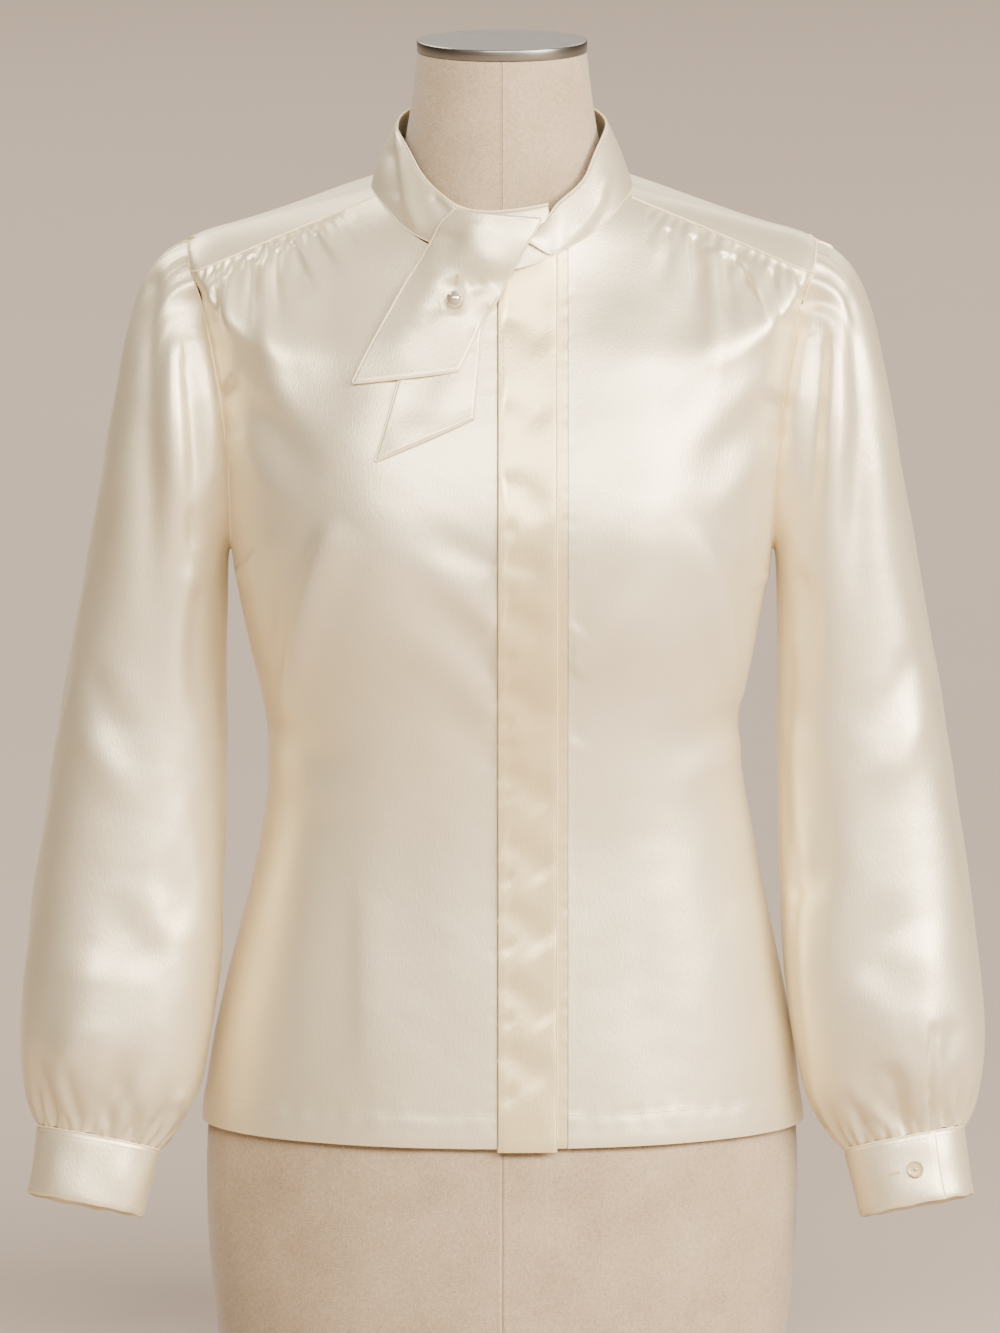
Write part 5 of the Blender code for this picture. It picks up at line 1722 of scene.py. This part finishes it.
# Folds of the viewer's right sleeve.
LEFT_SLEEVE_FOLDS = (
    (((199, 690), (190, 655), (184, 615), (182, 575)), (5, 8), 1.8, (0.2, 0.4)),
    (((205, 682), (201, 640), (198, 590), (198, 550)), (4, 7), -2.2, (0.2, 0.4)),
    (((209, 690), (213, 650), (211, 600), (210, 540), (216, 480)), (5, 12), 2.4, (0.2, 0.4)),
    (((222, 706), (227, 660), (229, 600), (226, 530), (232, 470)), (5, 12), -2.2, (0.1, 0.4)),
    (((236, 688), (245, 640), (249, 580), (254, 505)), (7, 13), 1.5, (0.2, 0.5)),
    (((188, 530), (194, 480), (190, 420)), (6, 9), -1.5, (0.2, 0.4)),
    (((270, 480), (250, 440), (222, 412)), (9, 15), -1.5, (0.3, 0.5)),
    (((276, 440), (252, 400), (216, 380)), (10, 16), 1.5, (0.3, 0.5)),
    (((204, 338), (195, 320), (186, 303)), (11, 8), -1.4, (0.5, 0.3)),
    (((220, 330), (206, 296), (198, 262), (203, 215)), (14, 14), 1.4, (0.5, 0.4)),
    (((292, 222), (264, 214), (232, 206)), (22, 26), 3, (0.4, 0.4)),
    (((262, 300), (270, 262), (268, 210)), (14, 26), 2.6, (0.4, 0.3)),
    (((254, 320), (240, 280), (232, 246)), (13, 15), -1.5, (0.4, 0.4)),
    (((274, 234), (271.5, 201), (274.5, 158)), (2.2, 2), -2.4, (0.15, 0.02), 0.6),
    (((286, 236), (285, 220), (282, 200)), (9, 5), -1.6, (0.4, 0.4)),
    (((244, 212), (252, 190), (259, 160)), (10, 3), -2.6, (0.35, 0.05)),
    (((218, 190), (226, 172), (234, 157)), (5, 3), -1.7, (0.4, 0.05)),
    (((234, 174), (242, 164), (248, 155)), (4, 2.5), -1.4, (0.4, 0.05)),
)


@dataclass
class CollarAndTies:
    """The band collar and its two tie ends."""

    finishes: Finishes
    yoke: Piece
    collar_columns: int = 300
    collar_rows: int = 27
    tie_rows: int = 104
    tie_columns: int = 61
    creases: List[Fold] = field(default_factory=lambda: folds_from(COLLAR_CREASES))
    pieces: Dict[str, Piece] = field(default_factory=dict)

    def collar(self) -> None:
        """The collar's band: its under end passes the centre front and its upper end crosses over it."""
        column = dict(zip(COLLAR_COLUMNS, np.array(COLLAR_STATIONS, float).T))
        turn = np.radians(column["turn"])
        angle = -np.mod(-turn + math.pi, 2 * math.pi) + math.pi
        foot = BODY.skin(angle, np.full_like(angle, BODY.top))
        radial = np.stack([np.sin(turn), -np.cos(turn), np.zeros_like(turn)], axis=-1)
        up = np.array([0.0, 0.0, 1.0])
        free = column["seam"] == 0
        foot[free] = (radial * column["foot_r"][:, None] + up * column["foot_z"][:, None])[free]
        foot[~free] += up * 2 * SEAM
        azimuth = np.arctan2(foot[:, 0], -foot[:, 1])
        heading = np.stack([np.sin(azimuth), -np.cos(azimuth), np.zeros_like(turn)], axis=-1)
        top = heading * column["top_r"][:, None] + up * column["top_z"][:, None]
        knots = np.arange(len(turn), dtype=float)
        at = np.linspace(0, knots[-1], self.collar_columns)
        foot, top, heading = (spline(knots, values, at) for values in (foot, top, heading))
        heading = unit(heading)
        share = np.linspace(0, 1, self.collar_rows)[:, None, None]
        grid = foot * (1 - share) + top * share + heading * 1.6 * np.sin(math.pi * share)
        normal = grid_normal(grid, False, grid * np.array([1.0, 1.0, 0.0]))
        x, z = grid[..., 0], grid[..., 2]
        front = smooth(-grid[..., 1] / 15.0)
        height = total(self.creases, x, z) * front
        arc = at * 15.0
        height = height + 0.35 * waves(arc[None, :] + 0 * z, z, 46.0, 101)
        away = edge_distance(grid, False)
        height = height * smooth(away["v0"] / 3.0) * (0.4 + 0.6 * smooth(away["u1"] / 6.0))
        grid = grid + height[..., None] * normal
        bent = grid_normal(grid, False, normal)
        outer, inner = rounded_shell(grid, bent, WALL + 0.3, away, ("v1", "u0", "u1"), 1.4)
        parts = [cloth_part(outer, inner), (*cord_along(grid[-1] - 0.75 * bent[-1], 0.72), Kind.EDGE),
                 (*cord_along(grid[0, 30:-40] - 0.3 * bent[0, 30:-40], 0.6), Kind.EDGE)]
        self.pieces["collar_band"] = sewn_piece("collar_band", parts, self.finishes)

    @staticmethod
    def front_depth(x: Array, z: Array) -> Array:
        """The y of the outermost cloth on the front: the body low down, the collar above.

        Args:
            x: across.
            z: up.

        Returns:
            Depths.
        """
        angle, run = BODY.locate(x, np.minimum(z, 727.0))
        body_y = BODY.skin(angle, run)[..., 1]
        radius = np.interp(z, [715.0, 727.0, 757.0, 770.0], [80.0, 79.5, 72.5, 70.0])
        collar_y = -np.sqrt(np.maximum(radius**2 - x**2, 1.0))
        blend = np.clip((z - 712.0) / 20.0, 0, 1)
        return body_y * (1 - blend) + np.minimum(collar_y, body_y + 20 * blend) * blend

    def tie(self, name: str, table: Table, folds: List[Fold], seed: int,
            hole: Optional[Pair] = None) -> None:
        """A tie end: a flat tab whose edges are rolled over.

        Args:
            name: the CAD node it replaces.
            table: its stations.
            folds: its soft folds.
            seed: which unevenness it gets.
            hole: where its buttonhole is, across and up.
        """
        values = np.array(list(table.values()), float)
        knots = np.arange(len(values), dtype=float)
        fine = spline(knots, values, np.linspace(0, knots[-1], self.tie_rows))
        tab = {column: fine[:, i][:, None] for i, column in enumerate(TAB_COLUMNS)}
        share = np.linspace(0, 1, self.tie_columns)[None]
        x = tab["left_x"] * (1 - share) + tab["right_x"] * share
        z = tab["left_z"] * (1 - share) + tab["right_z"] * share
        stand = tab["stand_left"] * (1 - share) + tab["stand_right"] * share + 1.2 * np.sin(math.pi * share)
        depth = self.front_depth(x, z)
        for _ in range(160):
            depth[1:-1] = (depth[:-2] + 2 * depth[1:-1] + depth[2:]) / 4
        grid = np.stack([x, depth - stand, z], axis=-1)
        normal = grid_normal(grid, False, np.array([0.0, -1.0, 0.0]))
        away = edge_distance(grid, False)
        edge = np.minimum(np.minimum(away["u0"], away["u1"]), away["v1"])
        height = total(folds, x, z) + 0.35 * waves(x, z, 34.0, seed) + 0.25 * np.exp(-edge / 2.0)
        grid = grid + height[..., None] * normal
        bent = grid_normal(grid, False, normal)
        outer, inner = rounded_shell(grid, bent, WALL + 0.5, away, ("v0", "v1", "u0", "u1"), 1.6)
        border = np.concatenate([grid[1:, 0], grid[-1, 1:], grid[-2:0:-1, -1]])
        under = np.concatenate([bent[1:, 0], bent[-1, 1:], bent[-2:0:-1, -1]])
        parts = [cloth_part(outer, inner), (*cord_along(border - 0.95 * under, 0.75), Kind.EDGE)]
        if hole is not None:
            row, col = np.unravel_index(np.argmin(np.hypot(x - hole[0], z - hole[1])), x.shape)
            up = np.array([0.1, 0.0, 1.0])
            parts.append((*buttonhole(grid[row, col], up, bent[row, col], 6.0), Kind.THREAD))
        self.pieces[name] = sewn_piece(name, parts, self.finishes)

    def build(self) -> None:
        """Make the collar and the ties."""
        self.collar()
        self.tie("tie_upper", TIE_UPPER, folds_from(UPPER_TIE_FOLDS), 111, (-29.2, 713.0))
        self.tie("tie_under", TIE_UNDER, folds_from(UNDER_TIE_FOLDS), 112)

    def dress(self) -> None:
        """Does nothing."""


COLLAR_CREASES = (
    (((-66, 806), (-66.5, 791), (-64.6, 777),
      (-62, 761), (-57, 748), (-50, 735)), (2.6, 4.5), 1.6, (0.02, 0.2), 0.5),
    (((-70, 792), (-68, 772), (-66, 756)), (5, 6), -1.3, (0.2, 0.3)),
    (((-46, 764), (-38, 756), (-30, 748)), (2.5, 4), -1, (0.2, 0.4)),
    (((-40, 768), (-32, 758), (-24, 752)), (2.5, 4), 0.9, (0.2, 0.4)),
    (((66, 781), (64, 768), (61, 756), (52, 746), (42, 735)), (4, 5), 1.1, (0.2, 0.2), 0.3),
    (((70, 770), (67, 756), (58, 744)), (5, 5), -0.8, (0.2, 0.3)),
)
UPPER_TIE_FOLDS = (
    (((-34, 716), (-31, 702), (-30, 690)), (7, 7), -1.8, (0.3, 0.3)),
    (((-22, 706), (-8, 712)), (4, 6), -0.8, (0.2, 0.5)),
    (((-38, 698), (-52, 690)), (4, 7), -0.8, (0.2, 0.5)),
    (((-56, 690), (-70, 664)), (9, 12), 0.9, (0.3, 0.4)),
    (((-33, 745), (-34, 728), (-40, 712)), (9, 11), -1.1, (0.2, 0.4)),
    (((6, 757), (-2, 742), (-14, 728)), (8, 10), -1.2, (0.1, 0.4)),
    (((-16, 752), (-24, 732), (-44, 706), (-60, 676)), (8, 12), 1, (0.1, 0.4)),
    (((-4, 694), (-14, 686), (-26, 684)), (5, 8), -1.1, (0.1, 0.5)),
    (((-2, 706), (-10, 702), (-22, 700)), (5, 7), 0.7, (0.1, 0.5)),
)
UNDER_TIE_FOLDS = (
    (((-64, 664), (-68, 640), (-78, 610)), (6, 8), 0.9, (0.1, 0.3)),
    (((-44, 668), (-46, 645), (-48, 618)), (9, 11), -0.9, (0.1, 0.3)),
    (((-26, 672), (-26, 650), (-22, 634)), (8, 9), 0.7, (0.1, 0.3)),
)


@dataclass
class Fastenings:
    """The pearl on the tie and the buttons on the cuffs."""

    finishes: Finishes
    pearl_radius: float = 5.2

    def pearl(self) -> None:
        """The pearl."""
        radius = self.pearl_radius
        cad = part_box("pearl")
        centre = (np.array(cad[0]) + np.array(cad[1])) / 2 / MM
        profile = [(radius * math.sin(a), -radius * math.cos(a)) for a in np.radians(np.linspace(4, 176, 36))]
        points, faces = lathe(profile, centre, (0, -1, 0), 56)
        piece = make_piece("pearl_bead", points, faces, self.finishes.pearl)
        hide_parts("pearl")

    def button(self, name: str, side: int, lap_end: float) -> None:
        """A round button with a raised rim and a small set stone, on a cuff's overlap.

        Args:
            name: the CAD node it replaces.
            side: -1 for the wearer's right.
            lap_end: the turn at which the cuff's upper end stops.
        """
        turn = np.radians(lap_end + CUFF_OVERLAP / 2) + np.array([0.0, 0.05])
        rings, _ = tube_rows(CUFF_RINGS, 3, turn)
        whole, _ = tube_rows(CUFF_RINGS, 3, np.linspace(0, 2 * math.pi, 25)[:-1])
        normal = unit(np.cross(rings[2, 0] - rings[0, 0], rings[1, 1] - rings[1, 0]))
        if np.dot(normal, rings[1, 0] - whole[1].mean(axis=0)) < 0:
            normal = -normal
        centre = rings[1, 0] + normal * (CUFF_WALL + 3 * SEAM)
        rim = [(0.01, 0.0), (4.6, 0.0), (5.2, 0.3), (5.45, 0.9), (5.45, 1.5), (5.25, 2.0), (4.85, 2.25),
               (4.4, 2.1), (4.1, 1.7), (3.6, 1.5), (1.6, 1.45), (1.2, 1.5), (0.01, 1.5)]
        bead = [(0.01, 1.3), (1.0, 1.3), (1.1, 1.6), (1.0, 2.0), (0.7, 2.35), (0.35, 2.5), (0.01, 2.55)]
        flip = np.array([side, 1.0, 1.0])
        parts = [lathe(rim, centre * flip, normal * flip, 64), lathe(bead, centre * flip, normal * flip, 24)]
        points, faces = join(parts)
        piece = make_piece(f"{name}_disc", points, faces, self.finishes.button, 50.0)
        piece.data.materials.append(self.finishes.pearl)
        kinds = [0] * len(parts[0][1]) + [1] * len(parts[1][1])
        piece.data.polygons.foreach_set("material_index", kinds)
        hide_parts(name)

    def build(self) -> None:
        """Make the fastenings."""
        self.pearl()
        self.button("cuff_button_left", 1, CUFF_LAP_ENDS["left"])
        self.button("cuff_button_right", -1, CUFF_LAP_ENDS["right"])


@dataclass
class DressForm:
    """The padded torso and its metal cap."""

    finishes: Finishes
    torso: Optional[Piece] = None

    def build(self) -> None:
        """Make the torso and cap."""
        seam = np.array([0.0, 0.3, 0.6, 1.0, 1.6, 2.6]) / 185.0
        half = np.concatenate([seam, np.linspace(0.03, math.pi - 0.03, 72), math.pi - seam[::-1]])
        angle = np.concatenate([half, 2 * math.pi - half[-2:0:-1]])
        foot = Rings(FORM_COLUMNS, FORM_BASE)
        neck = Rings(FORM_COLUMNS, FORM_NECK)
        rows = [foot.point(angle, np.full_like(angle, run)) for run in foot.runs]
        for name, run in BODY.run_of.items():
            if name in ("hem", "over_hem", "neck"):
                continue
            place = np.full_like(angle, run)
            clearance = 10.0 if run > BODY.run_of["high_chest"] else 5.0
            rows.append(BODY.skin(angle, place) - clearance * BODY.normal(angle, place))
        rows += [neck.point(angle, np.full_like(angle, run)) for run in neck.runs]
        coarse = np.array(rows)
        knots = running(np.linalg.norm(np.diff(coarse, axis=0), axis=-1).mean(axis=1))
        at = np.concatenate([np.linspace(0, 160, 40), np.linspace(164, knots[-1] - 112, 60),
                             np.linspace(knots[-1] - 108, knots[-1], 40)])
        flat = spline(knots, coarse.reshape(len(coarse), -1), at)
        grid = flat.reshape(len(at), len(angle), 3)
        across = np.minimum(np.abs(np.sin(angle)), 1.0) * 185.0
        groove = 0.55 * np.exp(-((across / 0.5) ** 2)) - 0.25 * np.exp(-(((across - 1.6) / 0.9) ** 2))
        normal = grid_normal(grid, True, grid * np.array([1.0, 1.0, 0.0]))
        grid = grid - groove[None, :, None] * normal
        faces = tube_faces(*grid.shape[:2])
        self.torso = make_piece("dress_form_torso", grid, faces, self.finishes.linen, 50.0)
        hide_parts("dress_form")
        turns = np.radians([90, 65, 40, 18, 0])
        arcs = [(54.4 - 0.9 + 0.9 * math.sin(a), 6.5 + 0.9 * math.cos(a)) for a in turns]
        profile = [(53.4, 0.0), (54.0, 0.15), (54.4, 0.7)] + arcs + [(52.0, 7.4), (30.0, 7.4), (0.01, 7.4)]
        points, cap_faces = lathe(profile, (0.0, 0.0, 848.6), (0, 0, 1), 120)
        cap = make_piece("neck_cap_disc", points, cap_faces, self.finishes.steel, 40.0)
        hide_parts("neck_cap")


@dataclass
class Studio:
    """Seamless paper, soft lights and the camera."""

    reach: float = 26.0
    distance: float = 16.0
    elevation: float = math.radians(8.5)

    def floor(self) -> None:
        """A paper floor, wide enough to lie behind the form from every side."""
        points = [(x * self.reach, y * self.reach, 0.0) for x, y in ((-1, -1), (1, -1), (1, 1), (-1, 1))]
        mesh = bpy.data.meshes.new("studio_floor")
        mesh.from_pydata(points, [], [(0, 1, 2, 3)])
        mesh.materials.append(StudioPaper("Seamless studio paper").material())
        floor = bpy.data.objects.new("studio_floor", mesh)
        bpy.context.scene.collection.objects.link(floor)

    def light(self, name: str, place: Point, target: Point, size: Pair, power: float,
              colour: str = "#FFF8EF") -> None:
        """A soft rectangular light.

        Args:
            name: its name.
            place: where it stands, in metres.
            target: what it points at.
            size: its width and height.
            power: its power in watts.
            colour: its colour.
        """
        data = bpy.data.lights.new(name, "AREA")
        data.shape = "RECTANGLE"
        data.size, data.size_y = size
        data.energy = power
        data.color = hex_colour(colour)[:3]
        lamp = bpy.data.objects.new(name, data)
        lamp.location = place
        lamp.rotation_euler = aim(place, target)
        bpy.context.scene.collection.objects.link(lamp)

    def camera(self) -> None:
        """A long lens, far off and a little above the middle of the form."""
        target = (-0.0013, 0.0, 0.452)
        back, rise = self.distance * math.cos(self.elevation), self.distance * math.sin(self.elevation)
        place = (target[0], -back, target[2] + rise)
        data = bpy.data.cameras.new("camera")
        data.sensor_fit = "HORIZONTAL"
        data.sensor_width = 36.0
        data.lens = 900.0
        data.clip_end = 50.0
        camera = bpy.data.objects.new("camera", data)
        camera.location = place
        camera.rotation_euler = aim(place, target)
        bpy.context.scene.collection.objects.link(camera)
        bpy.context.scene.camera = camera

    def build(self) -> None:
        """Set the studio up."""
        self.floor()
        self.light("front_bank", (0.3, -2.7, 2.0), (0, 0, 0.5), (3.0, 0.9), 200.0)
        self.light("right_bank", (2.5, -1.9, 1.7), (0, 0, 0.45), (1.7, 1.5), 275.0)
        self.light("left_bank", (-2.3, -2.1, 1.5), (0, 0, 0.45), (1.4, 1.2), 5.0, "#FFF8F0")
        self.light("paper", (0, 5.4, 3.4), (0, 5.4, 0), (9.0, 6.0), 600.0)
        self.light("floor_fill", (-1.3, 0.95, 2.2), (-0.9, 0.9, 0.0), (1.4, 0.9), 52.0)
        world = bpy.data.worlds.new("room")
        world.use_nodes = True
        ground = world.node_tree.nodes["Background"]
        ground.inputs["Color"].default_value = hex_colour("#F4EEE6")
        ground.inputs["Strength"].default_value = 0.055
        bpy.context.scene.world = world
        self.camera()


def aim(place: Sequence[float], target: Sequence[float]) -> Point:
    """The rotation that points -Z from a place at a target, with +Y up."""
    away = np.array(place, float) - np.array(target, float)
    flat = math.hypot(away[0], away[1])
    return (math.atan2(flat, away[2]), 0.0, math.atan2(away[0], -away[1]))


def main() -> None:
    """Build every sub-assembly in order."""
    logging.basicConfig(level=logging.INFO, format="%(name)s: %(message)s")
    finishes = Finishes()
    form = DressForm(finishes)
    form.build()
    LOG.info("dress form")
    body = BodyCloth(finishes, form.torso)
    body.build()
    body.dress()
    LOG.info("body panels %s", sorted(body.pieces))
    sleeves = Sleeves(finishes, body.pieces["yoke"])
    sleeves.build()
    sleeves.dress()
    LOG.info("sleeves and cuffs %s", sorted(sleeves.pieces))
    collar = CollarAndTies(finishes, body.pieces["yoke"])
    collar.build()
    collar.dress()
    LOG.info("collar and ties %s", sorted(collar.pieces))
    Fastenings(finishes).build()
    LOG.info("fastenings")
    Studio().build()
    LOG.info("studio")


if __name__ == "__main__":
    main()
